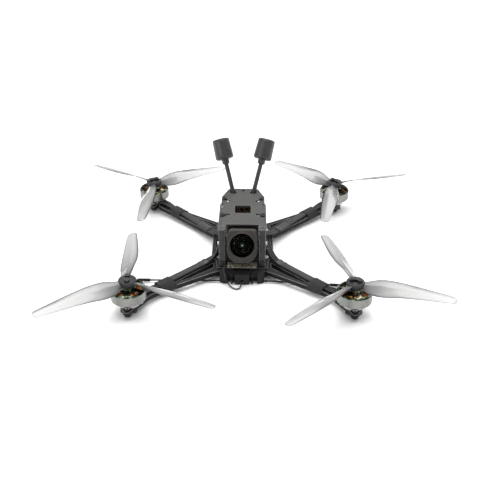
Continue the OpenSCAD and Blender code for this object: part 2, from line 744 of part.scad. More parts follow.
// Chord of a blade and how far its leading edge runs ahead, by distance from the axis
chords = [[5, 8.6], [9, 9.8], [12, 12], [16, 14.6], [20, 16.4], [25, 17.6], [30, 18], [38, 17.3],
          [45, 16.5], [60, 14.2], [75, 11.4], [84, 9.4], [87.5, 7.8], [88.9, 4.6]];
leads = [[5, 3.4], [9, 3.7], [12, 4.6], [20, 7.2], [30, 8.8], [45, 8.9], [60, 7.8], [75, 6.2],
         [84, 5.2], [87.5, 4.3], [88.9, 2.7]];
stations = [5, 9, 12, 16, 20, 25, 30, 38, 46, 56, 66, 75, 84, 87.5, 88.9];

// Ring of points round a blade section at distance r, for a blade along +X that leads to +Y
function blade_section(r) =
    let (s = prop_d / 177.8, c = lookup(r, chords), lead = lookup(r, leads),
         pitch = min(34, atan(prop_pitch / (2 * PI * r))),
         thick = 2.2 - 1.5 * r / 89, rise = -0.00035 * r * r + 0.025 * r)
    [for (q = [[0, 0], [0.12, -0.35], [0.5, -0.5], [0.85, -0.3], [1, 0], [0.85, 0.3],
               [0.5, 0.5], [0.12, 0.35]])
        let (along = lead - c * q[0], off = thick * q[1] + 0.2 * c * q[0] * (1 - q[0]))
        [r * s, along * cos(pitch) - off * sin(pitch),
         hub_top_z - 3 + rise + along * sin(pitch) + off * cos(pitch)]];

module propeller(turn, clockwise) {
    color([0.8, 0.8, 0.79]) rotate(turn) difference() {
        union() {
            translate([0, 0, seat_z]) cylinder(d = 13.4, h = 3);
            translate([0, 0, seat_z + 2.4]) cylinder(d = hub_d, h = hub_h - 2.4);
            for (a = [0, 120, 240]) rotate(a) mirror([0, clockwise ? 1 : 0, 0])
                loft([for (r = stations) blade_section(r)]);
        }
        translate([0, 0, seat_z - 1]) cylinder(d = shaft_d + 0.1, h = 5.5);
        for (s = [-1, 1]) translate([s * prop_screw_r, 0, seat_z - 1]) cylinder(d = 2.1, h = hub_h + 2);
    }
}

module prop_screws(turn) {
    color([0.1, 0.1, 0.1]) rotate(turn) for (s = [-1, 1]) translate([s * prop_screw_r, 0, 0])
        screw_down(hub_top_z, hub_h + 2.2, 2, 4.6, 2.6);
}

// Camera, drawn level about its pivot with the lens towards -Y

module camera_place() {
    translate([0, cam_y, cam_z]) rotate([-cam_tilt, 0, 0]) children();
}

// Extrudes a shape drawn in X and Z from one distance in front of the pivot to another
module forward(from, to) {
    translate([0, -from, 0]) rotate([90, 0, 0]) linear_extrude(to - from) children();
}

// Rounded front of the camera, pulled in by the inset on every side
module camera_outline(inset = 0) {
    top_r = 6 - inset;
    low_r = 12 - inset;
    w = cam_w / 2 - inset;
    up = cam_up - inset;
    down = cam_h - cam_up - inset;
    translate([-w, low_r - down]) square([2 * w, up + down - low_r - top_r]);
    translate([top_r - w, 0]) square([2 * (w - top_r), up]);
    translate([low_r - w, -down]) square([2 * (w - low_r), down]);
    for (s = [-1, 1]) {
        translate([s * (w - top_r), up - top_r]) circle(top_r);
        translate([s * (w - low_r), low_r - down]) circle(low_r);
    }
}

module camera_housing() {
    color([0.36, 0.35, 0.34]) camera_place() difference() {
        union() {
            forward(-5, cam_front) camera_outline();
            forward(-cam_back, -5) round_rect(22, 22, 3);
            rotate([0, 90, 0]) cylinder(d = 6, h = 32.4, center = true);
        }
        forward(cam_front - 2, cam_front + 1) circle(d = glass_d + 0.8, $fn = 72);
        rotate([0, 90, 0]) cylinder(d = 2, h = 40, center = true);
    }
}

module lens_hood() {
    color([0.3, 0.29, 0.28]) camera_place() {
        forward(cam_front, cam_front + 1) difference() {
            camera_outline(0.7);
            circle(glass_d / 2 + 0.1, $fn = 96);
        }
        rotate([90, 0, 0]) rotate_extrude($fn = 96)
            polygon([[glass_d / 2 + 0.1, cam_front + 0.9], [cam_w / 2 - 0.8, cam_front + 0.9],
                     [cam_w / 2 - 1.2, cam_front + 1.9], [glass_d / 2 + 0.9, cam_front + 2.4],
                     [glass_d / 2 + 0.1, cam_front + 1.3]]);
    }
}

module lens_glass() {
    dome = 4;
    base = glass_d / 2;
    ball = (base * base + dome * dome) / (2 * dome);
    color([0.02, 0.03, 0.02]) camera_place() intersection() {
        forward(cam_front - 2, cam_front + 5) circle(base, $fn = 96);
        translate([0, ball - cam_front - dome + 0.4, 0]) sphere(ball, $fn = 96);
    }
}

// Pivot screws that turn with the camera, with their heads outside the brackets
module camera_screws() {
    color([0.6, 0.6, 0.6]) camera_place() both_sides() {
        translate([11, 0, 0]) rotate([0, 90, 0]) cylinder(d = 2, h = 11.8);
        translate([22.8, 0, 0]) rotate([0, 90, 0]) difference() {
            cylinder(d = 3.8, h = 1.4);
            translate([0, 0, 0.7]) cylinder(d = 1.5, h = 1, $fn = 6);
        }
    }
}

// Antennas

module video_antenna() {
    color([0.17, 0.17, 0.18]) antenna_place() {
        translate([0, 0, -stem_below]) cylinder(d = stem_d, h = stem_l);
        translate([0, 0, stem_l - stem_below - 1]) cylinder(d = 7.8, h = 4.6);
        translate([0, 0, stem_l - stem_below + 3.6]) rotate_extrude() polygon([
            [0, 0], [cap_d / 2 - 1.8, 0], [cap_d / 2, 1.6], [cap_d / 2, 4],
            [cap_d / 2 - 0.6, cap_l - 1], [cap_d / 2 - 1.4, cap_l], [0, cap_l]]);
    }
}

module receiver_antenna() {
    left = 102.5;
    bend = 23.5;
    right = 98;
    color([0.06, 0.06, 0.06]) translate([0, dipole_y, dipole_z]) {
        rotate([0, -90, 0]) {
            translate([0, 0, 0.1 - bend]) cylinder(d = dipole_d, h = left + bend - 0.1);
            translate([0, 0, left - 13.5]) cylinder(d = 3, h = 13.5);
        }
        // Short collar at the bend, just outside the holder
        translate([bend - 1.3, 0, 0]) rotate([0, 90, 0]) cylinder(d = 2.6, h = 2.6);
        translate([bend, 0, 0]) rotate([0, 90, -5.5]) {
            translate([0, 0, 0.1]) cylinder(d = dipole_d, h = right - bend);
            translate([0, 0, right - bend - 13.5]) cylinder(d = 3, h = 13.5);
        }
    }
}

battery_pad();
bottom_plate();
mid_plate();
top_plate();
corner(-1, -1) arm(true);  // arm_front_left
corner(1, -1) arm(true);  // arm_front_right
corner(-1, 1) arm(false);  // arm_rear_left
corner(1, 1) arm(false);  // arm_rear_right
mirror([1, 0, 0]) camera_bracket();  // camera_bracket_left
camera_bracket();  // camera_bracket_right
front_antenna_holder();
rear_antenna_mount();
standoffs();
frame_screws();
top_screws();
stack_screws();
stack_grommets();
esc_board();
flight_controller();
boot_button();
video_transmitter();
link_button();
receiver_board();
capacitor();
camera_cable();
motor_wires();
wire_sleeves();
antenna_leads();
wire_wraps();
motor_screws();
at_motor(-1, -1) motor_base();  // motor_base_front_left
at_motor(1, -1) motor_base();  // motor_base_front_right
at_motor(-1, 1) motor_base();  // motor_base_rear_left
at_motor(1, 1) motor_base();  // motor_base_rear_right
motor_stators();
motor_windings();
motor_bearings();
at_motor(-1, -1) bell(rotor_rest[0]);  // bell_front_left
at_motor(1, -1) bell(rotor_rest[1]);  // bell_front_right
at_motor(-1, 1) bell(rotor_rest[2]);  // bell_rear_left
at_motor(1, 1) bell(rotor_rest[3]);  // bell_rear_right
at_motor(-1, -1) magnets(rotor_rest[0]);  // magnets_front_left
at_motor(1, -1) magnets(rotor_rest[1]);  // magnets_front_right
at_motor(-1, 1) magnets(rotor_rest[2]);  // magnets_rear_left
at_motor(1, 1) magnets(rotor_rest[3]);  // magnets_rear_right
at_motor(-1, -1) propeller(rotor_rest[0], true);  // propeller_front_left
at_motor(1, -1) propeller(rotor_rest[1], false);  // propeller_front_right
at_motor(-1, 1) propeller(rotor_rest[2], false);  // propeller_rear_left
at_motor(1, 1) propeller(rotor_rest[3], true);  // propeller_rear_right
at_motor(-1, -1) prop_screws(rotor_rest[0]);  // prop_screws_front_left
at_motor(1, -1) prop_screws(rotor_rest[1]);  // prop_screws_front_right
at_motor(-1, 1) prop_screws(rotor_rest[2]);  // prop_screws_rear_left
at_motor(1, 1) prop_screws(rotor_rest[3]);  // prop_screws_rear_right
camera_housing();
lens_hood();
lens_glass();
camera_screws();
mirror([1, 0, 0]) video_antenna();  // video_antenna_left
video_antenna();  // video_antenna_right
receiver_antenna();
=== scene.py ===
"""Looks of a seven inch class fpv racing quadcopter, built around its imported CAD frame.

Shapes are worked out in millimetres, in the frame's own axes: the nose faces -Y and +Z is up.
"""

import json
import math
import random

import bmesh
import bpy
import numpy as np
from mathutils import Matrix, Vector


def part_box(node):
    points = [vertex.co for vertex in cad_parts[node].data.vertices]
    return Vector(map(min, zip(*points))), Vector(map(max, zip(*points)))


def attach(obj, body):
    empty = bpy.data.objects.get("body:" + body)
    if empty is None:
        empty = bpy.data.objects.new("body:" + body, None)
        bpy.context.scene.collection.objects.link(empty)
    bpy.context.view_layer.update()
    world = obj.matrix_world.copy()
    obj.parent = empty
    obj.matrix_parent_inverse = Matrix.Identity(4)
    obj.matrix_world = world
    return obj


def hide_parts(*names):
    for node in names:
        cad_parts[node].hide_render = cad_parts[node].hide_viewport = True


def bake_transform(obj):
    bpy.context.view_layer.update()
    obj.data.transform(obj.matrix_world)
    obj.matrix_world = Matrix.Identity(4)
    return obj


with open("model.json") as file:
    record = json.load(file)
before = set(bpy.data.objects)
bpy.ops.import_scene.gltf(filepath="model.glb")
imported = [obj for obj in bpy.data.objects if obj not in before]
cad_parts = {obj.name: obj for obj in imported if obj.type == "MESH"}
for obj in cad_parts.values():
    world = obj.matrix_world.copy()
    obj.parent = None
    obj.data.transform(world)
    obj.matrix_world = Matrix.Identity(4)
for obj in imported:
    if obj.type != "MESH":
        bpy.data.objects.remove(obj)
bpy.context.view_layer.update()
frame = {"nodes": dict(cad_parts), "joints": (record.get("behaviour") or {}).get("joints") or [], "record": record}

MM = 0.001
CORNERS = ["front_left", "front_right", "rear_left", "rear_right"]
SIDES = {"left": -1, "right": 1}

# ---------------------------------------------------------------- places taken from the frame


def joint(name):
    return next(j for j in frame["joints"] if j["name"] == name)


def heights(node):
    """Lowest and highest point of a CAD node."""
    return [corner.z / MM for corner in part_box(node)]


MOTOR = {c: Vector(joint("spin_" + c)["pos_m"]) / MM for c in CORNERS}
SEAT_Z = MOTOR["front_left"].z
ARM_LOW, ARM_HIGH = heights("arm_front_left")
STATOR_LOW, STATOR_HIGH = heights("motor_stators")
PIVOT = Vector(joint("camera_tilt")["pos_m"]) / MM

# Turn of each rotor at rest, as in the CAD source, and which rotors turn clockwise
ROTOR_REST = {"front_left": 95.5, "front_right": -16.5, "rear_left": 27.5, "rear_right": 138}
CLOCKWISE = {"front_left", "rear_right"}
CAMERA_TILT = 22

# ---------------------------------------------------------------- materials


class Finish:
    """One material and its node tree, with a short call for each kind of node that it needs."""

    def __init__(self, name, color, roughness, metallic=0.0, **sockets):
        self.material = bpy.data.materials.new(name)
        self.material.use_nodes = True
        self.tree = self.material.node_tree
        self.shader = self.tree.nodes["Principled BSDF"]
        self.shader.inputs["Base Color"].default_value = (*color, 1)
        self.shader.inputs["Roughness"].default_value = roughness
        self.shader.inputs["Metallic"].default_value = metallic
        for socket, value in sockets.items():
            self.shader.inputs[socket.replace("_", " ")].default_value = value
        self.material.diffuse_color = (*color, 1)
        self.place = self.node("ShaderNodeTexCoord").outputs["Object"]

    def node(self, kind, **settings):
        made = self.tree.nodes.new(kind)
        for key, value in settings.items():
            setattr(made, key, value)
        return made

    def wire(self, value, socket):
        if hasattr(value, "is_output"):
            self.tree.links.new(value, socket)
        else:
            socket.default_value = value

    def math(self, operation, *values):
        made = self.node("ShaderNodeMath", operation=operation)
        for value, socket in zip(values, made.inputs):
            self.wire(value, socket)
        return made.outputs[0]

    def axes(self):
        parts = self.node("ShaderNodeSeparateXYZ")
        self.wire(self.place, parts.inputs[0])
        return parts.outputs

    def scaled(self, scale):
        """The place on the piece, stretched by one factor for each axis, in features per metre."""
        made = self.node("ShaderNodeMapping")
        self.wire(self.place, made.inputs["Vector"])
        made.inputs["Scale"].default_value = scale
        return made.outputs[0]

    def noise(self, size, detail=3.0, stretch=(1, 1, 1)):
        """Noise from 0 to 1 whose features are about size millimetres across."""
        made = self.node("ShaderNodeTexNoise")
        self.wire(self.scaled([1 / (size * MM * s) for s in stretch]), made.inputs["Vector"])
        made.inputs["Scale"].default_value = 1
        made.inputs["Detail"].default_value = detail
        return made.outputs[0]

    def cells(self, size, feature="F1"):
        made = self.node("ShaderNodeTexVoronoi", feature=feature)
        self.wire(self.scaled([1 / (size * MM)] * 3), made.inputs["Vector"])
        made.inputs["Scale"].default_value = 1
        return made.outputs

    def ramp(self, factor, stops):
        made = self.node("ShaderNodeValToRGB")
        self.wire(factor, made.inputs[0])
        elements = made.color_ramp.elements
        while len(elements) < len(stops):
            elements.new(0.5)
        for element, (position, color) in zip(elements, stops):
            element.position = position
            element.color = (*color, 1)
        return made.outputs[0]

    def levels(self, factor, low, high, at=(0, 1)):
        """Maps the factor between two places onto the levels low to high."""
        made = self.node("ShaderNodeMapRange")
        for value, socket in zip((factor, *at, low, high), made.inputs):
            self.wire(value, socket)
        return made.outputs[0]

    def mix(self, factor, a, b):
        made = self.node("ShaderNodeMix", data_type="RGBA")
        self.wire(factor, made.inputs[0])
        for value, socket in ((a, made.inputs[6]), (b, made.inputs[7])):
            self.wire((*value, 1) if isinstance(value, tuple) else value, socket)
        return made.outputs[2]

    def color(self, value):
        self.wire(value, self.shader.inputs["Base Color"])

    def roughness(self, factor, low, high):
        self.wire(self.levels(factor, low, high), self.shader.inputs["Roughness"])

    def bump(self, height, depth, strength=1.0):
        """Relief of the given depth in millimetres."""
        made = self.node("ShaderNodeBump")
        self.wire(height, made.inputs["Height"])
        made.inputs["Distance"].default_value = depth * MM
        made.inputs["Strength"].default_value = strength
        self.wire(made.outputs[0], self.shader.inputs["Normal"])

    def upward(self):
        """1 where the surface faces up or down, 0 on a wall."""
        parts = self.node("ShaderNodeSeparateXYZ")
        self.wire(self.node("ShaderNodeNewGeometry").outputs["Normal"], parts.inputs[0])
        return self.math("GREATER_THAN", self.math("ABSOLUTE", parts.outputs[2]), 0.6)


# Thickness of one layer of the laminate, as the cut edges show it
LAYER_T = 0.42


def woven_carbon(name, dark, light, roughness, tow=1.9, contrast=1.0):
    """2 by 2 twill laminate: tows in both directions on the faces, layers on the cut edges. Each tow has painted
    shade towards its sides and a painted highlight on its crown, and a painted sheen sets the warp apart from the
    weft.
    """
    f = Finish(name, light, roughness, Specular_IOR_Level=0.1)
    x, y, z = f.axes()
    u = f.math("DIVIDE", x, tow * MM)
    v = f.math("DIVIDE", y, tow * MM)
    step = f.math("SUBTRACT", f.math("FLOOR", u), f.math("FLOOR", v))
    warp = f.math("LESS_THAN", f.math("FLOORED_MODULO", step, 4.0), 1.9)
    across_u = f.math("SINE", f.math("MULTIPLY", f.math("FRACT", u), math.pi))
    across_v = f.math("SINE", f.math("MULTIPLY", f.math("FRACT", v), math.pi))
    crown = f.math("ADD", f.math("MULTIPLY", warp, across_u),
                   f.math("MULTIPLY", f.math("SUBTRACT", 1.0, warp), across_v))
    strands = f.mix(warp, f.noise(0.5, 2, (9, 0.5, 1)), f.noise(0.5, 2, (0.5, 9, 1)))
    # Fibre streaks, with painted shade towards the sides of each tow and a painted highlight on its crown
    grain = f.math("MULTIPLY", f.levels(strands, 0.7, 1.25),
                   f.levels(crown, 1 - 0.45 * contrast, 1 + 0.1 * contrast))
    patch = f.levels(f.noise(28, 3), 0.85, 1.15)
    # The weft is drawn darker than the warp: a painted sheen
    shade = f.math("MULTIPLY", f.math("MULTIPLY", grain, patch), f.levels(warp, 1.0, 1 - 0.28 * contrast))
    weave = f.mix(f.levels(shade, 0, 1, (0.2, 1.35)), dark, light)
    layers = f.math("SINE", f.math("MULTIPLY", z, 2 * math.pi / (LAYER_T * MM)))
    edge = f.mix(f.math("MULTIPLY", f.levels(layers, 0.2, 0.9, (-1, 1)), f.noise(1.3, 2, (3, 3, 1))),
                 dark, light)
    flat = f.upward()
    f.color(f.mix(flat, edge, weave))
    f.roughness(f.noise(6, 3), roughness - 0.06, roughness + 0.1)
    relief = f.mix(flat, f.levels(layers, 0.2, 0.6, (-1, 1)), f.levels(crown, 0.3, 0.9))
    f.bump(relief, 0.05 * contrast, 0.55)
    return f.material


def moulded(name, color, roughness, grain=0.35, depth=0.02, spread=0.18, **sockets):
    """Plastic or rubber with a fine moulded grain and slow variations of tone."""
    f = Finish(name, color, roughness, **{"Specular_IOR_Level": 0.15, **sockets})
    darker = tuple(c * (1 - spread) for c in color)
    lighter = tuple(min(1, c * (1 + spread)) for c in color)
    fine = f.noise(grain, 2)
    tone = f.math("MULTIPLY", f.noise(7, 4), f.levels(fine, 0.8, 1.2))
    f.color(f.mix(f.levels(tone, 0, 1, (0.25, 0.75)), darker, lighter))
    f.roughness(f.noise(3.5, 3), roughness - 0.05, roughness + 0.09)
    f.bump(fine, depth, 0.6)
    return f.material


def brushed(name, color, roughness, stretch=(1, 1, 12), depth=0.012):
    """Metal with fine tool marks, drawn out along one axis."""
    f = Finish(name, color, roughness, 1.0)
    marks = f.noise(0.25, 3, stretch)
    stain = f.noise(5, 4)
    tone = f.math("MULTIPLY", f.levels(stain, 0.85, 1.1), f.levels(marks, 0.9, 1.1))
    dull = tuple(c * 0.72 for c in color)
    f.color(f.mix(f.levels(tone, 0, 1, (0.8, 1.15)), dull, color))
    f.roughness(stain, roughness - 0.06, roughness + 0.12)
    f.bump(marks, depth, 0.5)
    return f.material


# How far below the seat of the propeller the ring of a bell ends and its anodised top starts
BELL_TOP_H = 3.4


def bell_finish():
    """Satin silver ring below a dark green anodised top, with pale cream patches painted on the top as painted
    highlights.
    """
    f = Finish("bell_metal", (0.22, 0.225, 0.215), 0.34, 1.0)
    z = f.axes()[2]
    ring_top = (SEAT_Z - BELL_TOP_H) * MM
    above = f.levels(z, 0, 1, (ring_top - 0.1 * MM, ring_top + 0.1 * MM))
    marks = f.noise(0.3, 3, (1, 1, 0.25))
    tint = f.ramp(f.noise(6, 2), [(0.3, (0.20, 0.22, 0.20)), (0.52, (0.26, 0.26, 0.245)),
                                  (0.7, (0.235, 0.21, 0.21))])
    # Dark green anodising on the top, with pale cream patches that are painted highlights
    top = f.ramp(f.noise(4, 3), [(0.42, (0.022, 0.034, 0.022)), (0.55, (0.08, 0.11, 0.07)),
                                 (0.68, (0.6, 0.6, 0.48))])
    f.color(f.mix(above, f.mix(f.levels(marks, 0, 0.35), tint, (0.15, 0.155, 0.15)), top))
    f.wire(f.mix(above, f.levels(marks, 0.28, 0.46), f.levels(marks, 0.16, 0.32)),
           f.shader.inputs["Roughness"])
    f.bump(marks, 0.012, 0.5)
    return f.material


def blade_finish():
    """Smoke grey polycarbonate: dark at the root, paler to the tip, with painted shade along its thin edges."""
    f = Finish("prop_plastic", (0.6, 0.6, 0.59), 0.12, IOR=1.5,
               Specular_IOR_Level=0.6, Coat_Weight=0.3, Coat_Roughness=0.08)
    x, y, _ = f.axes()
    reach = f.math("SQRT", f.math("ADD", f.math("MULTIPLY", x, x), f.math("MULTIPLY", y, y)))
    streak = f.noise(2.2, 3, (6, 6, 1))
    place = f.math("ADD", reach, f.levels(streak, -2 * MM, 2 * MM))
    root = f.ramp(f.levels(place, 0, 1, (8 * MM, 80 * MM)),
                  [(0.0, (0.04, 0.04, 0.042)), (0.09, (0.16, 0.16, 0.16)), (0.3, (0.36, 0.36, 0.355)),
                   (0.65, (0.44, 0.44, 0.435)), (1.0, (0.52, 0.52, 0.515))])
    # Painted shade: near black on the thin edges and over the tip, as kept on the vertices
    edge = f.node("ShaderNodeAttribute", attribute_name="edge").outputs["Fac"]
    f.color(f.mix(edge, root, (0.02, 0.02, 0.021)))
    clear = f.math("MULTIPLY", f.levels(place, 0.1, 0.55, (10 * MM, 26 * MM)),
                   f.math("SUBTRACT", 1.0, edge))
    f.wire(clear, f.shader.inputs["Transmission Weight"])
    f.bump(f.noise(3, 2, (3, 3, 1)), 0.012, 0.3)
    return f.material


def copper_finish():
    """Enamelled copper wire: bright orange, darker and paler in random patches."""
    f = Finish("copper", (0.85, 0.34, 0.09), 0.28, 0.6, Coat_Weight=0.4, Coat_Roughness=0.15)
    f.color(f.ramp(f.noise(1.2, 3), [(0.3, (0.50, 0.14, 0.03)), (0.5, (0.90, 0.36, 0.09)),
                                     (0.75, (1.0, 0.56, 0.22))]))
    f.bump(f.noise(0.3, 2), 0.01, 0.4)
    return f.material


def board_finish(name, mask, trace, part, part_size):
    """Circuit board: solder mask with traces, and small parts on its faces."""
    f = Finish(name, mask, 0.4)
    tracks = f.cells(part_size * 0.8, "DISTANCE_TO_EDGE")[0]
    parts = f.cells(part_size)
    lines = f.math("LESS_THAN", tracks, 0.07)
    body = f.math("LESS_THAN", parts["Distance"], 0.32)
    base = f.mix(lines, mask, trace)
    f.color(f.mix(f.math("MULTIPLY", body, f.upward()), base, part))
    f.roughness(f.noise(1.5, 3), 0.25, 0.55)
    f.bump(body, 0.12, 0.5)
    return f.material


def cloth_tape():
    """Black harness tape: a fine cross weave with a soft nap."""
    f = Finish("tape", (0.03, 0.03, 0.031), 0.75, Specular_IOR_Level=0.2, Sheen_Weight=0.05)
    x, y, z = f.axes()
    per_thread = 2 * math.pi / (0.55 * MM)
    along = f.math("SINE", f.math("MULTIPLY", f.math("ADD", x, y), per_thread))
    up = f.math("SINE", f.math("MULTIPLY", f.math("SUBTRACT", x, f.math("ADD", y, z)), per_thread))
    threads = f.math("MULTIPLY", along, up)
    f.color(f.mix(f.levels(threads, 0, 1, (-1, 1)), (0.010, 0.010, 0.011), (0.034, 0.034, 0.035)))
    f.roughness(f.noise(2, 3), 0.62, 0.85)
    f.bump(threads, 0.06, 0.6)
    return f.material


def fin_finish():
    """Brown anodised aluminium case of the video transmitter: walls painted near black as painted shade, top faces
    in a mottled brown that is brightened as painted light, with small painted white glints.
    """
    f = Finish("transmitter_case", (0.16, 0.09, 0.06), 0.35, 0.3)
    tone = f.ramp(f.noise(3, 4), [(0.3, (0.10, 0.05, 0.035)), (0.6, (0.30, 0.16, 0.10)),
                                  (0.8, (0.45, 0.30, 0.22))])
    # Small painted white glints on the top faces, and painted shade that turns the walls near black
    painted_glints = f.math("LESS_THAN", f.cells(3.4)["Distance"], 0.28)
    f.color(f.mix(f.upward(), (0.02, 0.016, 0.014), f.mix(painted_glints, tone, (0.9, 0.88, 0.82))))
    f.roughness(f.noise(0.6, 3), 0.25, 0.5)
    f.bump(f.noise(0.3, 2), 0.02, 0.5)
    return f.material


def lens_finish(name, color, **sockets):
    """Optical glass with a dark anti-reflection coating and a faint bloom of colour."""
    f = Finish(name, color, 0.05, IOR=1.09, **sockets)
    bloom = f.levels(f.noise(9, 1), 0, 1, (0.35, 0.65))
    f.color(f.mix(bloom, color, tuple(min(1, c * 1.25 + 0.002) for c in color)))
    f.roughness(f.noise(5, 2), 0.03, 0.08)
    f.bump(f.noise(4, 1), 0.002, 0.2)
    return f.material


def inner_lens_finish():
    """Small inner element, black but for the pale green reflection in its middle."""
    f = Finish("inner_lens", (0.004, 0.006, 0.005), 0.12, IOR=1.1)
    x, y, z = f.axes()
    tilt = math.radians(CAMERA_TILT)
    up = f.math("ADD", f.math("MULTIPLY", y, math.sin(tilt)), f.math("MULTIPLY", z, math.cos(tilt)))
    square = f.math("ADD", f.math("MULTIPLY", x, x), f.math("MULTIPLY", up, up))
    reach = f.math("ADD", f.math("SQRT", square), f.levels(f.noise(1.2, 2), -0.4 * MM, 0.4 * MM))
    f.color(f.ramp(f.levels(reach, 0, 1, (0.2 * MM, 3.6 * MM)),
                   [(0.0, (0.55, 0.66, 0.5)), (0.22, (0.10, 0.16, 0.10)),
                    (0.4, (0.008, 0.02, 0.012)), (1.0, (0.003, 0.004, 0.004))]))
    f.bump(f.noise(2, 1), 0.002, 0.2)
    return f.material


def braid_finish():
    """Black polyester yarn with a slight sheen, darker and paler in fine random patches."""
    f = Finish("sleeving", (0.03, 0.03, 0.032), 0.5, Specular_IOR_Level=0.35, Sheen_Weight=0.04)
    fibre = f.noise(0.35, 3, (1, 1, 0.4))
    wear = f.noise(7, 3)
    tone = f.math("MULTIPLY", fibre, f.levels(wear, 0.8, 1.25))
    f.color(f.mix(f.levels(tone, 0, 1, (0.3, 0.75)), (0.006, 0.006, 0.007), (0.036, 0.036, 0.038)))
    f.roughness(fibre, 0.45, 0.75)
    f.bump(fibre, 0.04, 0.6)
    return f.material


def wire_finish(name, color, roughness):
    """Soft silicone insulation with a powdery sheen and a few scuffs."""
    f = Finish(name, color, roughness, Specular_IOR_Level=0.35, Coat_Weight=0.12, Coat_Roughness=0.3)
    scuff = f.noise(1.6, 4)
    f.color(f.mix(f.levels(scuff, 0, 1, (0.45, 0.7)), color, tuple(c * 1.9 + 0.01 for c in color)))
    f.roughness(scuff, roughness - 0.08, roughness + 0.15)
    f.bump(f.noise(0.5, 2), 0.015, 0.4)
    return f.material


def floor_finish():
    """Plain white sweep with the faintest change of tone."""
    f = Finish("floor", (0.93, 0.93, 0.93), 0.85)
    f.color(f.mix(f.noise(300, 2), (0.925, 0.925, 0.925), (0.935, 0.935, 0.935)))
    return f.material


MATERIALS = {
    "rubber_pad": moulded("rubber_pad", (0.03, 0.03, 0.03), 0.75, 0.8, 0.12),
    "carbon": woven_carbon("carbon", (0.005, 0.005, 0.0055), (0.030, 0.030, 0.031), 0.38),
    "cage_grey": woven_carbon("cage_grey", (0.028, 0.028, 0.027), (0.1, 0.1, 0.097), 0.5, 0.8,
                              0.35),
    "printed_black": moulded("printed_black", (0.016, 0.016, 0.017), 0.55, 0.6, 0.05),
    "standoff_metal": brushed("standoff_metal", (0.12, 0.12, 0.13), 0.35),
    "frame_screw_steel": brushed("frame_screw_steel", (0.55, 0.55, 0.55), 0.3, (1, 1, 1)),
    "black_steel": brushed("black_steel", (0.09, 0.09, 0.095), 0.28, (1, 1, 1)),
    "grommet_rubber": moulded("grommet_rubber", (0.09, 0.02, 0.02), 0.6),
    "circuit_board": board_finish("circuit_board", (0.012, 0.02, 0.016), (0.05, 0.07, 0.05),
                                  (0.16, 0.13, 0.09), 1.6),
    "receiver_pcb": board_finish("receiver_pcb", (0.045, 0.05, 0.035), (0.27, 0.25, 0.19),
                                 (0.50, 0.46, 0.36), 2.2),
    "switch_plastic": moulded("switch_plastic", (0.75, 0.75, 0.72), 0.4, 0.2, 0.005, 0.05),
    "transmitter_case": fin_finish(),
    "capacitor_sleeve": moulded("capacitor_sleeve", (0.02, 0.02, 0.04), 0.25, 0.8, 0.01),
    "cable_black": wire_finish("cable_black", (0.012, 0.012, 0.013), 0.38),
    "wire_silicone": wire_finish("wire_silicone", (0.014, 0.014, 0.015), 0.42),
    "tape": cloth_tape(),
    "sleeving": braid_finish(),
    "motor_base_metal": brushed("motor_base_metal", (0.45, 0.46, 0.46), 0.3, (1, 1, 6)),
    "laminations": brushed("laminations", (0.09, 0.1, 0.11), 0.45, (8, 8, 0.4)),
    "copper": copper_finish(),
    "bearing_steel": brushed("bearing_steel", (0.6, 0.6, 0.62), 0.15, (1, 1, 1), 0.004),
    "bell_metal": bell_finish(),
    "magnet": brushed("magnet", (0.5, 0.5, 0.52), 0.2, (1, 1, 1), 0.005),
    "prop_plastic": blade_finish(),
    "camera_shell": moulded("camera_shell", (0.055, 0.050, 0.046), 0.48, 0.3, 0.015),
    "lens_ring": moulded("lens_ring", (0.040, 0.037, 0.034), 0.42, 0.3, 0.012),
    "lens_glass": lens_finish("lens_glass", (0.55, 0.58, 0.56), Transmission_Weight=1.0),
    "camera_screw_steel": brushed("camera_screw_steel", (0.5, 0.5, 0.5), 0.3, (1, 1, 1)),
    "antenna_plastic": moulded("antenna_plastic", (0.026, 0.026, 0.027), 0.3, 0.4, 0.012,
                               Specular_IOR_Level=0.5),
    "dipole_sleeve": moulded("dipole_sleeve", (0.010, 0.010, 0.011), 0.5),
}
# Materials of faces and inner parts that no CAD node has as its own
HUB = moulded("hub_plastic", (0.032, 0.032, 0.034), 0.3, 0.4, 0.01)
# Pale colour of the bevels on carbon parts: a painted highlight along their edges
PAINTED_EDGE_HIGHLIGHT = moulded("painted_edge_highlight", (0.17, 0.17, 0.17), 0.35, 0.8, 0.01, 0.4, Specular_IOR_Level=0.6)
SOLDER = brushed("solder", (0.82, 0.78, 0.68), 0.22, (1, 1, 1), 0.03)
BAFFLE = moulded("lens_baffle", (0.003, 0.003, 0.003), 0.45, 0.25, 0.006, Specular_IOR_Level=0.05)
INNER_LENS = inner_lens_finish()

# ---------------------------------------------------------------- mesh helpers


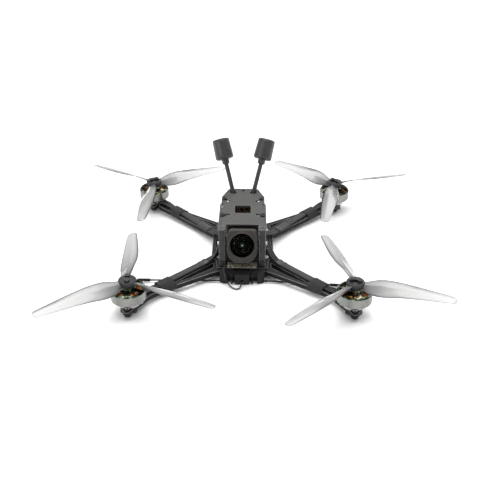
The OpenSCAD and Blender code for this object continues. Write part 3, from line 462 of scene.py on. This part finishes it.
class Shape:
    """Vertices and faces in millimetres, grown by lofts, tubes and turned profiles."""

    def __init__(self):
        self.verts = []
        self.faces = []
        self.kinds = []
        self.edges = {}

    def loft(self, rings, kind=0, loop=False):
        """Skin over rings of equally many points. The two ends are capped, or joined in a loop."""
        start, count, size = len(self.verts), len(rings), len(rings[0])
        for r in rings:
            self.verts.extend(tuple(p) for p in r)
        for i in range(count if loop else count - 1):
            for k in range(size):
                a, b = start + i * size, start + (i + 1) % count * size
                n = (k + 1) % size
                self.faces.append((a + k, a + n, b + n, b + k))
                self.kinds.append(kind)
        if not loop:
            for i in (0, count - 1):
                self.faces.append(tuple(start + i * size + k for k in range(size)))
                self.kinds.append(kind)

    def tube(self, path, radius, sides, kind=0, loop=False):
        """Round tube along a path. The radius is one number, or one for each point."""
        points = [Vector(p) for p in path]
        radii = radius if hasattr(radius, "__len__") else [radius] * len(points)
        side = None
        rings = []
        for i, p in enumerate(points):
            if loop:
                ahead, behind = points[(i + 1) % len(points)], points[i - 1]
            else:
                ahead, behind = points[min(i + 1, len(points) - 1)], points[max(i - 1, 0)]
            t = (ahead - behind).normalized()
            if side is None:
                side = t.cross(Vector((0.13, 0.21, 1))).normalized()
            side = (side - t * side.dot(t)).normalized()
            up = side.cross(t)
            rings.append([p + radii[i] * (math.cos(a) * side + math.sin(a) * up) for a in turns(sides)])
        self.loft(rings, kind, loop)

    def turned(self, profile, sides, kind=0, place=None):
        """Profile of (radius, height) points turned round Z. It closes on itself through its ends."""
        place = place or Matrix.Identity(4)
        rings = [[place @ Vector((r * math.cos(a), r * math.sin(a), h)) for r, h in profile]
                 for a in turns(sides)]
        self.loft(rings, kind, loop=True)


def turns(count):
    """Angles of that many equal steps of a full turn."""
    return [2 * math.pi * k / count for k in range(count)]


def smooth(points, steps):
    """Curve through a list of points, with that many steps in each span."""
    p = [np.array(q, float) for q in points]
    out = []
    for i in range(len(p) - 1):
        a, b, c, d = p[max(i - 1, 0)], p[i], p[i + 1], p[min(i + 2, len(p) - 1)]
        for k in range(steps):
            t = k / steps
            out.append(0.5 * (2 * b + (c - a) * t + (2 * a - 5 * b + 4 * c - d) * t**2
                              + (3 * b - a - 3 * c + d) * t**3))
    return out + [p[-1]]


def through(table, x):
    """Smooth value at x from a list of (x, value) points."""
    xs, ys = zip(*table)
    if x <= xs[0]:
        return ys[0]
    if x >= xs[-1]:
        return ys[-1]
    i = max(k for k in range(len(xs) - 1) if xs[k] <= x)
    slopes = np.gradient(ys, xs)
    width = xs[i + 1] - xs[i]
    t = (x - xs[i]) / width
    return float((2 * t**3 - 3 * t**2 + 1) * ys[i] + (t**3 - 2 * t**2 + t) * width * slopes[i]
                 + (3 * t**2 - 2 * t**3) * ys[i + 1] + (t**3 - t**2) * width * slopes[i + 1])


def rounded_ends(path, radius):
    """The path and its radii, with a round nose inside each end."""
    p = [Vector(q) for q in path]
    first = (p[1] - p[0]).normalized()
    last = (p[-1] - p[-2]).normalized()
    nose = [(radius * (1 - math.cos(a)), radius * max(math.sin(a), 0.08))
            for a in np.linspace(0, 3 * math.pi / 8, 4)]
    start = [(p[0] + first * in_from_end, r) for in_from_end, r in nose]
    end = [(p[-1] - last * in_from_end, r) for in_from_end, r in nose]
    middle = [q for q in p if (q - p[0]).length > radius and (q - p[-1]).length > radius]
    line = start + [(p[0] + first * radius, radius)] + [(q, radius) for q in middle]
    line += [(p[-1] - last * radius, radius)] + end[::-1]
    return [q for q, _ in line], [r for _, r in line]


def round_corners(ring):
    """Cuts the corners of a closed ring twice, so that it curves inside its outline."""
    points = [Vector(q) for q in ring]
    for _ in range(2):
        cut = []
        for i, q in enumerate(points):
            after = points[(i + 1) % len(points)]
            cut += [q.lerp(after, 0.2), q.lerp(after, 0.8)]
        points = cut
    return points


def piece(name, shape, body, slot, materials=None, replaces=(), place=None, sharp=40):
    """Makes a piece from a shape, puts it in its place and attaches it to its body.

    A body of None leaves the piece without a body. Edges sharper than sharp degrees stay crisp.
    """
    place = place or Matrix.Identity(4)
    mesh = bpy.data.meshes.new(name)
    mesh.from_pydata([tuple(c * MM for c in v) for v in shape.verts], [], shape.faces)
    for material in materials or [MATERIALS[slot]]:
        mesh.materials.append(material)
    mesh.polygons.foreach_set("material_index", shape.kinds)
    if shape.edges:
        marks = mesh.attributes.new("edge", "FLOAT", "POINT")
        for index, value in shape.edges.items():
            marks.data[index].value = value
    mesh.transform(place.to_3x3().to_4x4())
    b = bmesh.new()
    b.from_mesh(mesh)
    bmesh.ops.remove_doubles(b, verts=b.verts, dist=1e-7)
    bmesh.ops.recalc_face_normals(b, faces=b.faces)
    b.to_mesh(mesh)
    b.free()
    mesh.shade_smooth()
    mesh.set_sharp_from_angle(angle=math.radians(sharp))
    made = bpy.data.objects.new(name, mesh)
    bpy.context.scene.collection.objects.link(made)
    made.location = place.to_translation()
    if body:
        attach(made, body)
    if replaces:
        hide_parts(*replaces)
    return made


# ---------------------------------------------------------------- propellers

# Chord of a blade at each distance from its axis, and how much of it lies ahead of the radius
CHORDS = [(5, 8.6), (9, 9.8), (12, 12), (16, 14.6), (20, 16.4), (25, 17.6), (30, 18), (38, 17.3),
          (45, 16.5), (60, 14.2), (75, 11.4), (84, 9.4), (87.5, 7.6), (88.9, 4.2)]
LEADS = [(5, 3.4), (9, 3.7), (12, 4.6), (20, 7.2), (30, 8.8), (45, 8.9), (60, 7.8), (75, 6.2),
         (84, 5.2), (87.5, 4.2), (88.9, 2.6)]
TIP_R = 88.9
PITCH = 94
STEEPEST = math.radians(34)
# Height of the blades above the seat of the propeller
BLADE_UP = 4
# Points on each side of a blade's section, from its leading edge (0) to its trailing edge
RING_POINTS = 14
# Painted shade on each of those points: how dark it is drawn
PAINTED_EDGE_SHADE = {0: 1, 1: 1, 2: 0.95, 3: 0.5, 4: 0.15, 12: 0.4, 13: 0.95, 14: 1}


def blade_ring(r):
    """Aerofoil section at distance r, for a blade along +X whose leading edge is towards +Y."""
    chord, lead = through(CHORDS, r), through(LEADS, r)
    angle = min(STEEPEST, math.atan(PITCH / (2 * math.pi * r)))
    # The blade is thickest at its root, and its outer half bows down a little
    thick = 2.2 - 1.5 * r / TIP_R + math.exp(-(r - 7) / 3.5)
    rise = -0.00035 * r * r + 0.025 * r
    ring = []
    for k in range(2 * RING_POINTS):
        a = math.pi * k / RING_POINTS
        q = 0.5 - 0.5 * math.cos(a)
        half = thick * (1.25 * math.sqrt(q) * (1 - q) ** 0.72 + 0.12 * math.sin(math.pi * q))
        crest = 0.03 * chord * math.exp(-((q - 0.4) / 0.13) ** 2)
        off = 0.12 * chord * q * (1 - q) + crest + math.copysign(0.62 * half, math.sin(a))
        along = lead - chord * q
        ring.append((r, along * math.cos(angle) - off * math.sin(angle),
                     BLADE_UP + rise + along * math.sin(angle) + off * math.cos(angle)))
    return ring


# Outline of the hub: radius and height above the seat
HUB_PROFILE = [
    (2.1, 0.05), (6.4, 0.05), (6.7, 0.35), (6.7, 2.1), (7.1, 2.6), (7.9, 2.9), (8.25, 3.3), (8.25, 6.2),
    (7.95, 6.75), (7.4, 7), (5.9, 7), (5.6, 6.8), (2.9, 6.8), (2.6, 7), (2.1, 7)]


def propeller(corner):
    """Three blades on a hub, with painted shade on the thin edges kept on their vertices."""
    shape = Shape()
    stations = list(np.linspace(5, 30, 16)) + list(np.linspace(32, 84, 20))
    stations += [85.5, 86.8, 87.7, 88.3, 88.7, TIP_R]
    hand = -1 if corner in CLOCKWISE else 1
    for turn in turns(3):
        c, s = math.cos(turn), math.sin(turn)
        first = len(shape.verts)
        shape.loft([[(c * x - s * hand * y, s * x + c * hand * y, z) for x, y, z in blade_ring(r)]
                    for r in stations])
        # Painted shade on the thin edges of each blade, and on its tip
        for i in range(first, len(shape.verts)):
            k = (i - first) % (2 * RING_POINTS)
            shape.edges[i] = PAINTED_EDGE_SHADE.get(min(k, 2 * RING_POINTS - k), 0)
            in_tip = i >= len(shape.verts) - 4 * RING_POINTS
            if in_tip:
                shape.edges[i] = max(shape.edges[i], 0.7)
    shape.turned(HUB_PROFILE, 72, kind=1)
    place = Matrix.Translation(Vector((MOTOR[corner].x, MOTOR[corner].y, SEAT_Z)) * MM)
    place = place @ Matrix.Rotation(math.radians(ROTOR_REST[corner]), 4, "Z")
    piece("propeller_blades_" + corner, shape, "rotor_" + corner, "prop_plastic",
          [MATERIALS["prop_plastic"], HUB], ["propeller_" + corner], place, sharp=50)


# ---------------------------------------------------------------- motor windings

TEETH = 12
TURNS = 6
WINDING_WIRE = 0.62
# Distance of the innermost turn from the shaft, and from one turn to the next
WINDING_R = 8.3
WINDING_STEP = 0.72


def windings(corner):
    """Turns of copper wire round each tooth of one stator."""
    shape = Shape()
    middle = (STATOR_LOW + STATOR_HIGH) / 2
    for tooth in turns(TEETH):
        c, s = math.cos(tooth), math.sin(tooth)
        for k in range(TURNS):
            r = WINDING_R + k * WINDING_STEP
            wide = 1.35 + 0.2 * k
            high = (STATOR_HIGH - STATOR_LOW) / 2 + 0.6 + 0.15 * math.sin(math.pi * k / (TURNS - 1))
            loop = []
            for a in turns(20):
                across = wide * math.copysign(abs(math.cos(a)) ** 0.5, math.cos(a))
                up = high * math.copysign(abs(math.sin(a)) ** 0.35, math.sin(a))
                loop.append((c * r - s * across, s * r + c * across, middle + up))
            shape.tube(loop, WINDING_WIRE / 2, 7, loop=True)
    place = Matrix.Translation(Vector((MOTOR[corner].x, MOTOR[corner].y, 0)) * MM)
    piece("windings_" + corner, shape, "airframe", "copper", replaces=["motor_windings"],
          place=place, sharp=60)


# ---------------------------------------------------------------- motor wires, sleeves and tape

# Route of the middle wire of each bundle, as in the CAD source: outward x, outward y and height,
# then the step from one wire to the next
ARM_STEP = (-1.5, 1.5, 0)
FRONT_ARM = [
    (40, 37.6, 10.95, *ARM_STEP), (45.2, 42.4, 10.8, *ARM_STEP), (56, 53.2, 10.8, *ARM_STEP),
    (68, 65, 10.8, *ARM_STEP), (77, 74.4, 10.8, *ARM_STEP), (81, 79, 11.5, -1.6, 1.6, 0),
    (84.5, 82.8, 12.5, -1.8, 1.8, 0), (88.4, 86.8, 13, -1.9, 1.9, 0), (93.6, 92.4, 12.8, -1.9, 1.9, 0)]
REAR = [
    (16.9, 9.8, 18, 0, 3.2, 0), (20, 10.4, 18.6, 0, 3.1, 0), (24.2, 12.6, 17.6, -0.4, 2.7, 0),
    (28.3, 16.8, 15.7, -1.1, 2.2, 0), (32, 22.2, 13.9, -1.6, 1.7, 0), (35.8, 28.4, 12.4, -1.7, 1.5, 0),
    (40.6, 35.2, 11.4, -1.6, 1.5, 0), (46.6, 42.8, 10.95, *ARM_STEP), (55, 53, 10.8, *ARM_STEP),
    (66, 66, 10.8, *ARM_STEP), (74, 74.6, 10.8, *ARM_STEP), (78.5, 78.6, 11.2, *ARM_STEP),
    (82.5, 81.8, 12.2, -1.7, 1.7, 0), (86.5, 85.6, 13, -1.9, 1.9, 0), (93.2, 92.2, 12.8, -1.9, 1.9, 0)]
WIRE_ROWS = {
    "front_left": [
        (16.9, 1.2, 18, 0, 3.2, 0), (19.6, 1.8, 18.5, -1.15, 1.95, 0.8), (21.8, 4.6, 18, -1.1, 1, 1.8),
        (23.7, 9, 17, -0.5, 0.55, 2.2), (24.6, 14.5, 16, 0, 0.2, 2.3), (25.4, 20, 15.3, -0.2, 0.3, 2.2),
        (27.8, 25.2, 14.5, -1.1, 1, 1.7), (31.6, 29.6, 12.7, -1.7, 1.4, 0.7),
        (35.6, 33.2, 11.6, -1.7, 1.4, 0.1)] + FRONT_ARM,
    "front_right": [
        (16.9, 1.2, 18, 0, 3.2, 0), (20, 1.8, 18.6, 0, 3.1, 0), (23, 4.8, 18.2, -0.9, 2.7, 0.2),
        (25.3, 10.2, 17, -1.8, 1.9, 0.3), (26.9, 15.7, 15.7, -2, 1.2, 0.3),
        (28.8, 21.9, 14.3, -2, 1.2, 0.2), (31.8, 28.2, 12.9, -1.9, 1.3, 0.1),
        (35.6, 33.2, 11.6, -1.7, 1.4, 0)] + FRONT_ARM,
    "rear_left": REAR,
    "rear_right": REAR,
}
WIRE_D = 1.9
# Steps of a wire's route, from its pad, that are bare tinned strands
BARE_STEPS = 6
BARE_R = 0.36 * WIRE_D

# Thickness of the speed controller, and its solder pads: how far out they lie, and where along an edge
BOARD_T = 1.6
PAD_X = 15.45
PADS_Y = (-4.4, -1.2, 2, 6.6, 9.8, 13)
# Where the tinned end of a wire starts and ends on its pad, and its radius
TINNED_X = (14.5, 17.3)
TINNED_R = 0.72

# Sleeve over the wires of an arm, and the shrink collar on its end at the body
SLEEVE = {
    "front": [(38.5, 36.3, 11.1), (45.2, 42.4, 10.8), (56, 53.2, 10.8), (68, 65, 10.8), (72, 69.2, 10.8)],
    "rear": [(43.6, 39.1, 11.15), (46.6, 42.8, 10.95), (55, 53, 10.8), (66, 66, 10.8), (71, 71.4, 10.8)],
}
COLLAR = {
    "front": [(35.6, 33.2, 11.6), (38.5, 36.3, 11.12), (41.5, 38.9, 10.95)],
    "rear": [(35.8, 28.4, 12.4), (40.6, 35.2, 11.4), (46.6, 42.8, 10.98)],
}
# Half widths and half heights of their oval sections, outside and inside
SLEEVE_OUTSIDE = (3.9, 1.55)
SLEEVE_INSIDE = (3.45, 1.2)
COLLAR_OUTSIDE = (4.5, 1.75)
COLLAR_INSIDE = (4.05, 1.6)
# The way across the wires of an arm
ACROSS = Vector((-0.7, 0.714, 0))

# Tape wrap: where it starts and ends along the arm's inner edge, the arm's width at both ends,
# the way across the arm, how far across the wires lie, and the turns and thickness of the tape
WRAP_ENDS = [(71.26, 62.37), (82.5, 73.73)]
WRAP_WIDTHS = [13.6, 10.5]
WRAP_ACROSS = (-0.7103, 0.7036)
WIRES_AT = {"front": 4.4, "rear": 6.5}
LAPS = 4.6
TAPE_T = 0.14


def signs(corner):
    """Signs of x and y on that corner of the frame."""
    return (1 if "right" in corner else -1), (1 if "rear" in corner else -1)


def half_of(corner):
    """Front or rear."""
    return corner.split("_")[0]


def mirrored(ring, corner):
    """Points given as outward distances, moved to their corner of the frame."""
    sx, sy = signs(corner)
    return [(sx * q[0], sy * q[1], q[2]) for q in ring]


def motor_wires(corner):
    """Three wires from their pads to one motor, with bare tinned ends at the pads."""
    shape = Shape()
    for index in (-1, 0, 1):
        path = [[row[i] + index * row[i + 3] for i in range(3)] for row in WIRE_ROWS[corner]]
        line = mirrored(smooth(path, 5), corner)
        shape.tube(*rounded_ends(line[BARE_STEPS:], WIRE_D / 2), 14)
        shape.tube(line[:BARE_STEPS + 2], BARE_R, 12, kind=1)
    piece("motor_wires_" + corner, shape, "airframe", "wire_silicone",
          [MATERIALS["wire_silicone"], SOLDER], ["motor_wires"])


def oval_ring(middle, halves, count, relief):
    """Flat oval across the wires of an arm. The relief gives how far each point is let in."""
    ring = []
    for k, a in enumerate(turns(count)):
        inset = relief(k)
        wide = (halves[0] - inset) * math.copysign(abs(math.cos(a)) ** 0.75, math.cos(a))
        high = (halves[1] - inset) * math.copysign(abs(math.sin(a)) ** 0.75, math.sin(a))
        ring.append(middle + ACROSS * wide + Vector((0, 0, high)))
    return ring


def wire_sleeve(corner):
    """Braided sleeve: flat strands that cross over and under each other round the wires."""
    path = [Vector(q) for q in smooth(SLEEVE[half_of(corner)], 44)]
    around, strands = 96, 12

    def relief(i):
        def inset(k):
            left = math.sin(2 * math.pi * (strands * k / around + i / 9))
            right = math.sin(2 * math.pi * (strands * k / around - i / 9))
            return 0.19 - 0.09 * (left * right + 1) - 0.01 * math.sin(i * 0.21)
        return inset

    rings = [oval_ring(p, SLEEVE_OUTSIDE, around, relief(i)) for i, p in enumerate(path)]
    inner = [oval_ring(p, SLEEVE_INSIDE, around, lambda k: 0) for p in (path[-1], path[0])]
    shape = Shape()
    shape.loft([mirrored(r, corner) for r in rings + inner], loop=True)
    piece("wire_sleeve_" + corner, shape, "airframe", "sleeving", replaces=["wire_sleeves"], sharp=60)


def shrink_collar(shape, corner):
    """Heat-shrunk collar that closes the body end of a sleeve, slightly drawn in along its length."""
    path = [Vector(q) for q in smooth(COLLAR[half_of(corner)], 12)]
    last = len(path) - 1

    def relief(i):
        lip = 0.35 * (1 - min(1, min(i, last - i) / 2.0)) ** 2
        waist = 0.22 * math.sin(math.pi * i / last) ** 2
        return lambda k: lip + waist * (1 + 0.25 * math.sin(0.9 * k + 0.7 * i))

    rings = [oval_ring(p, COLLAR_OUTSIDE, 48, relief(i)) for i, p in enumerate(path)]
    inner = [oval_ring(p, COLLAR_INSIDE, 48, lambda k: 0.3) for p in (path[-1], path[0])]
    shape.loft([mirrored(r, corner) for r in rings + inner], kind=1, loop=True)


def wrap_outline(along, wires_at, grow):
    """Ring of tape round the arm and over its wires, at a place from 0 to 1 along the wrap.

    It lies close to them when grow is 0, and further out, round the whole layer of tape, when it is 1.
    """
    (x0, y0), (x1, y1) = WRAP_ENDS
    x, y = x0 + (x1 - x0) * along, y0 + (y1 - y0) * along
    arm_w = WRAP_WIDTHS[0] + (WRAP_WIDTHS[1] - WRAP_WIDTHS[0]) * along
    gap, low, high = 0.15 + 0.6 * grow, ARM_LOW - 0.1 - 0.6 * grow, ARM_HIGH + 0.1
    top, shoulder, flat = 12.4 + 0.55 * grow, 3.95 + 0.5 * grow, 3.2 + 0.2 * grow
    ring = [(-gap, low), (arm_w + gap, low), (arm_w + gap, high), (wires_at + shoulder, top - 0.5),
            (wires_at + flat, top), (wires_at - flat, top), (wires_at - shoulder, top - 0.5), (-gap, high)]
    return [(x + WRAP_ACROSS[0] * a, y + WRAP_ACROSS[1] * a, z) for a, z in ring]


def wire_wrap(corner):
    """Harness tape wound round an arm and its wires, in overlapping turns, and the shrink collar."""
    wires_at = WIRES_AT[half_of(corner)]
    rings = []
    for along in np.linspace(0, 1, 56):
        ring = round_corners(wrap_outline(along, wires_at, 1))
        middle = sum(ring, Vector()) / len(ring)
        lapped = []
        for k, q in enumerate(ring):
            lap = TAPE_T * ((LAPS * along + k / len(ring)) % 1.0)
            lapped.append(q + (middle - q).normalized() * lap)
        rings.append(lapped)
    for along in (1, 0):
        rings.append(round_corners(wrap_outline(along, wires_at, 0.2)))
    shape = Shape()
    shape.loft([mirrored(r, corner) for r in rings], loop=True)
    shrink_collar(shape, corner)
    piece("wire_wrap_" + corner, shape, "airframe", "tape", [MATERIALS["tape"], MATERIALS["cable_black"]],
          ["wire_wraps"], sharp=35)


def solder_joints():
    """Tinned wire ends and solder on the pads along both edges of the speed controller."""
    rng = random.Random(11)
    shape = Shape()
    pad_z = heights("esc_board")[0] + BOARD_T + 0.35
    dome = [(0.05, 0.75), (0.5, 0.7), (0.85, 0.45), (1.05, 0.1), (1.1, -0.05), (0.05, -0.05)]
    for sx in SIDES.values():
        for y in PADS_Y:
            lift = rng.uniform(-0.05, 0.08)
            line = [(sx * x, y + lift, pad_z + 0.55) for x in np.linspace(*TINNED_X, 8)]
            shape.tube(*rounded_ends(line, TINNED_R), 12)
            size = rng.uniform(0.92, 1.05)
            place = Matrix.Translation((sx * PAD_X, y, pad_z))
            shape.turned([(r * size, h) for r, h in dome], 20, place=place)
    piece("solder_joints", shape, "airframe", "circuit_board", [SOLDER])


# ---------------------------------------------------------------- antennas and their leads

# Routes of the leads, as in the CAD source
RX_LEAD = [
    (0, -58, 4.4), (-0.6, -61.5, 3.4), (-1.8, -65, 1.8), (-4.6, -66.6, 1.2), (-8.4, -65.4, 1.4),
    (-12, -62, 2.4), (-14.6, -59.6, 5), (-15.8, -58.8, 8.4), (-16.6, -57.8, 11.6),
    (-17.4, -54.4, 13.8), (-17.4, -50.8, 15.6), (-16.2, -49.3, 16.3), (-14.4, -49.2, 16.3)]
VIDEO_LEAD = [
    (7.9, 30.2, 43.4), (7.2, 29.4, 41), (6.8, 29.3, 38.6), (6.6, 29, 36.9), (6.5, 28.5, 36.2),
    (6.5, 27.8, 36)]
LEAD_D = 1.3


def antenna_leads():
    """Coax of the receiver antenna, and the short lead of each video antenna."""
    shape = Shape()
    shape.tube(smooth(RX_LEAD, 6), LEAD_D / 2, 14)
    piece("receiver_lead", shape, "airframe", "cable_black", replaces=["antenna_leads"])
    for side, s in SIDES.items():
        shape = Shape()
        shape.tube(smooth([(s * x, y, z) for x, y, z in VIDEO_LEAD], 5), LEAD_D / 2, 12)
        piece("video_lead_" + side, shape, "airframe", "cable_black", replaces=["antenna_leads"])


# Dipole of the receiver: it runs straight from its left tip to a bend, then forward at an angle
DIPOLE_Z = 2.4
DIPOLE_Y = -54
DIPOLE_TIP = -102.5
DIPOLE_BEND = 23.5
DIPOLE_ANGLE = math.radians(5.5)
PAST_BEND = 74.5
DIPOLE_R = 0.8
TIP_SLEEVE = 13.5
TIP_SLEEVE_R = 1.42
BEND_SLEEVE_R = 1.25


def receiver_antenna():
    """Dipole tube through the front holder, with a ribbed sleeve over each tip and one on its bend."""
    left, bend, right = DIPOLE_TIP, DIPOLE_BEND, DIPOLE_BEND + PAST_BEND * math.cos(DIPOLE_ANGLE)

    def at(x):
        return (x, DIPOLE_Y - max(0, x - bend) * math.tan(DIPOLE_ANGLE), DIPOLE_Z)

    shape = Shape()
    xs = list(np.linspace(left, bend - 2, 40)) + list(np.linspace(bend - 1, right, 26))
    shape.tube(*rounded_ends([at(x) for x in xs], DIPOLE_R), 14)
    for a, b in ((left, left + TIP_SLEEVE), (right - TIP_SLEEVE, right)):
        line, radii = rounded_ends([at(x) for x in np.linspace(a, b, 60)], TIP_SLEEVE_R)
        radii = [r * (1 + 0.03 * math.sin(k * 0.9)) for k, r in enumerate(radii)]
        shape.tube(line, radii, 16)
    over_bend = [at(x) for x in np.linspace(bend - 1.3, bend + 1.3, 9)]
    shape.tube(*rounded_ends(over_bend, BEND_SLEEVE_R), 14)
    piece("receiver_dipole", shape, "airframe", "dipole_sleeve", replaces=["receiver_antenna"])


# ---------------------------------------------------------------- camera

# Front of the housing ahead of the tilt axis, and the front glass: its radius, bulge and thickness
CAM_FRONT = 14
GLASS_R = 11.4
GLASS_BULGE = 4
GLASS_T = 0.85


def in_camera():
    """Place of the camera's own axes: Z runs forward out of the lens, from the tilt pivot."""
    return (Matrix.Translation(PIVOT * MM) @ Matrix.Rotation(math.radians(-CAMERA_TILT), 4, "X")
            @ Matrix.Rotation(math.radians(90), 4, "X"))


def lens():
    """Front glass, the stepped baffle behind it, and the small inner element in its middle."""
    dome, barrel, inner = Shape(), Shape(), Shape()
    ball = (GLASS_R**2 + GLASS_BULGE**2) / (2 * GLASS_BULGE)
    top = CAM_FRONT + GLASS_BULGE - 0.4
    arc = np.linspace(0, math.asin((GLASS_R - 0.15) / ball), 18)
    outer = [(max(ball * math.sin(a), 0.001), top - ball * (1 - math.cos(a))) for a in arc]
    back = [(max(r - 0.5, 0.001), h - GLASS_T) for r, h in outer]
    dome.turned(outer + back[::-1], 96)
    barrel.turned([
        (GLASS_R - 0.05, 12.05), (GLASS_R - 0.05, 12.7), (10.3, 12.9), (9.9, 13.5), (9.3, 13.5),
        (9.0, 13.05), (8.2, 12.95), (7.9, 12.7), (7.0, 12.65), (6.7, 12.4), (5.8, 12.35),
        (5.6, 12.2), (0.01, 12.2), (0.01, 12.05)], 96)
    inner.turned([(0.001, 13.9), (1.2, 13.85), (2.6, 13.55), (3.8, 13.05), (4.6, 12.5), (4.8, 12.22),
                  (0.001, 12.22)], 64)
    piece("lens_dome", dome, "camera", "lens_glass", replaces=["lens_glass"], place=in_camera(), sharp=60)
    piece("lens_barrel", barrel, "camera", "lens_ring", [BAFFLE], place=in_camera(), sharp=30)
    piece("lens_inner", inner, "camera", "lens_glass", [INNER_LENS], place=in_camera(), sharp=60)


# Route of the camera cable to the transmitter, as in the CAD source, from a first point in the camera
CAMERA_CABLE = [
    (0, -27.2, 30.8), (0, -25.9, 30.3), (0, -24.2, 30), (0, -21.8, 31.2), (0, -20, 33.6),
    (0, -17.8, 35.5), (0, -15, 36)]
CABLE_WIRES = 4
CABLE_WIRE_R = 0.55
# Distance of each wire from the middle of the cable, and steps of the route in one twist
CABLE_LAY_R = 0.78
CABLE_TWIST = 34


def camera_cable():
    """Four thin twisted wires from the back of the camera."""
    line = [Vector(p) for p in smooth(CAMERA_CABLE, 8)]
    side = Vector((1, 0, 0))
    shape = Shape()
    for k in range(CABLE_WIRES):
        path = []
        for i, p in enumerate(line):
            t = (line[min(i + 1, len(line) - 1)] - line[max(i - 1, 0)]).normalized()
            a = 2 * math.pi * (k / CABLE_WIRES + i / CABLE_TWIST)
            path.append(p + CABLE_LAY_R * (math.cos(a) * side + math.sin(a) * t.cross(side)))
        shape.tube(path, CABLE_WIRE_R, 10)
    made = piece("camera_wires", shape, None, "cable_black", replaces=["camera_cable"])
    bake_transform(made)


# ---------------------------------------------------------------- CAD nodes that stay


def bevelled(node, width):
    """Breaks the sharp edges of a CAD node with a small bevel, which is painted paler on carbon parts as a painted
    highlight.
    """
    o = frame["nodes"][node]
    if o.data.materials[0] in (MATERIALS["carbon"], MATERIALS["cage_grey"]):
        o.data.materials.append(PAINTED_EDGE_HIGHLIGHT)
    weld = o.modifiers.new("weld", "WELD")
    weld.merge_threshold = 2e-6
    bevel = o.modifiers.new("edges", "BEVEL")
    bevel.width = width * MM
    bevel.material = len(o.data.materials) - 1
    bevel.segments = 2
    bevel.limit_method = "ANGLE"
    bevel.angle_limit = math.radians(38)
    bevel.use_clamp_overlap = False
    bevel.harden_normals = True
    bevel.miter_outer = "MITER_ARC"


# Width of the bevels on each of these nodes
BEVELS = {
    "top_plate": 0.22, "bottom_plate": 0.22, "mid_plate": 0.22,
    "arm_front_left": 0.3, "arm_front_right": 0.3, "arm_rear_left": 0.3, "arm_rear_right": 0.3,
    "camera_bracket_left": 0.3, "camera_bracket_right": 0.3, "camera_housing": 0.5,
    "front_antenna_holder": 0.35, "rear_antenna_mount": 0.35,
    "video_antenna_left": 0.7, "video_antenna_right": 0.7,
}


def dress_cad():
    """Gives every CAD node the material of its slot, and bevels those whose edges show."""
    slots = {p["node"]: p["material_slot"] for p in frame["record"]["subparts"]}
    for name, o in frame["nodes"].items():
        o.data.materials.clear()
        o.data.materials.append(MATERIALS[slots[name]])
    for node, width in BEVELS.items():
        bevelled(node, width)


# ---------------------------------------------------------------- stage, lights and camera


# Half the width of the floor and its height, in metres: just under what stands on it
FLOOR_REACH = 12
FLOOR_Z = -5e-5


def stage():
    mesh = bpy.data.meshes.new("floor")
    corners = [(x * FLOOR_REACH, y * FLOOR_REACH, FLOOR_Z) for x, y in ((-1, -1), (1, -1), (1, 1), (-1, 1))]
    mesh.from_pydata(corners, [], [(0, 1, 2, 3)])
    mesh.materials.append(floor_finish())
    floor = bpy.data.objects.new("floor", mesh)
    bpy.context.scene.collection.objects.link(floor)


def softbox(name, at, size, watts):
    """Round area light that faces the drone, with its place and size in metres."""
    data = bpy.data.lights.new(name, "AREA")
    data.shape = "DISK"
    data.size = size
    data.energy = watts
    light = bpy.data.objects.new(name, data)
    light.location = at
    light.rotation_mode = "QUATERNION"
    light.rotation_quaternion = (-Vector(at)).to_track_quat("-Z", "Y")
    bpy.context.scene.collection.objects.link(light)


# Brightness of the surroundings, from the horizon (0) to straight up (1): walls that grow brighter
# with height, a dark gap above them, then the ceiling
WALLS = [(0.0, 0.3), (0.2, 0.34), (0.44, 0.7), (0.52, 0.08), (0.68, 0.08), (0.8, 0.9), (1.0, 1.0)]
WORLD_STRENGTH = 1.9


def studio():
    """The surroundings that the drone reflects, and three broad lights."""
    world = bpy.data.worlds.new("studio")
    world.use_nodes = True
    tree = world.node_tree
    parts = tree.nodes.new("ShaderNodeSeparateXYZ")
    walls = tree.nodes.new("ShaderNodeValToRGB")
    tree.links.new(tree.nodes.new("ShaderNodeTexCoord").outputs["Generated"], parts.inputs[0])
    tree.links.new(parts.outputs[2], walls.inputs[0])
    tree.links.new(walls.outputs[0], tree.nodes["Background"].inputs["Color"])
    elements = walls.color_ramp.elements
    while len(elements) < len(WALLS):
        elements.new(0.5)
    for element, (height, level) in zip(elements, WALLS):
        element.position = height
        element.color = (level, level, level, 1)
    tree.nodes["Background"].inputs["Strength"].default_value = WORLD_STRENGTH
    bpy.context.scene.world = world
    softbox("overhead", (-0.1, 0.9, 2.2), 2.6, 52)
    softbox("front_left", (-1.6, -1.2, 1.2), 1.6, 10)
    softbox("rear_right", (1.3, 1.5, 1.2), 1.4, 10)
    bpy.context.scene.view_settings.view_transform = "Standard"


def camera():
    """View from the front and about 30 degrees above."""
    data = bpy.data.cameras.new("camera")
    data.sensor_width = 36
    data.lens = 55.8
    data.shift_x = -0.0059
    data.shift_y = -0.0320
    data.clip_end = 50
    view = bpy.data.objects.new("view", data)
    view.location = (0.00967, -0.65734, 0.40673)
    looks_along = Vector((-0.0128, 0.8701, -0.4927))
    view.rotation_mode = "QUATERNION"
    view.rotation_quaternion = looks_along.to_track_quat("-Z", "Y")
    bpy.context.scene.collection.objects.link(view)
    bpy.context.scene.camera = view


# ---------------------------------------------------------------- the whole

dress_cad()
for corner in CORNERS:
    propeller(corner)
    windings(corner)
    motor_wires(corner)
    wire_sleeve(corner)
    wire_wrap(corner)
solder_joints()
antenna_leads()
receiver_antenna()
lens()
camera_cable()
stage()
studio()
camera()
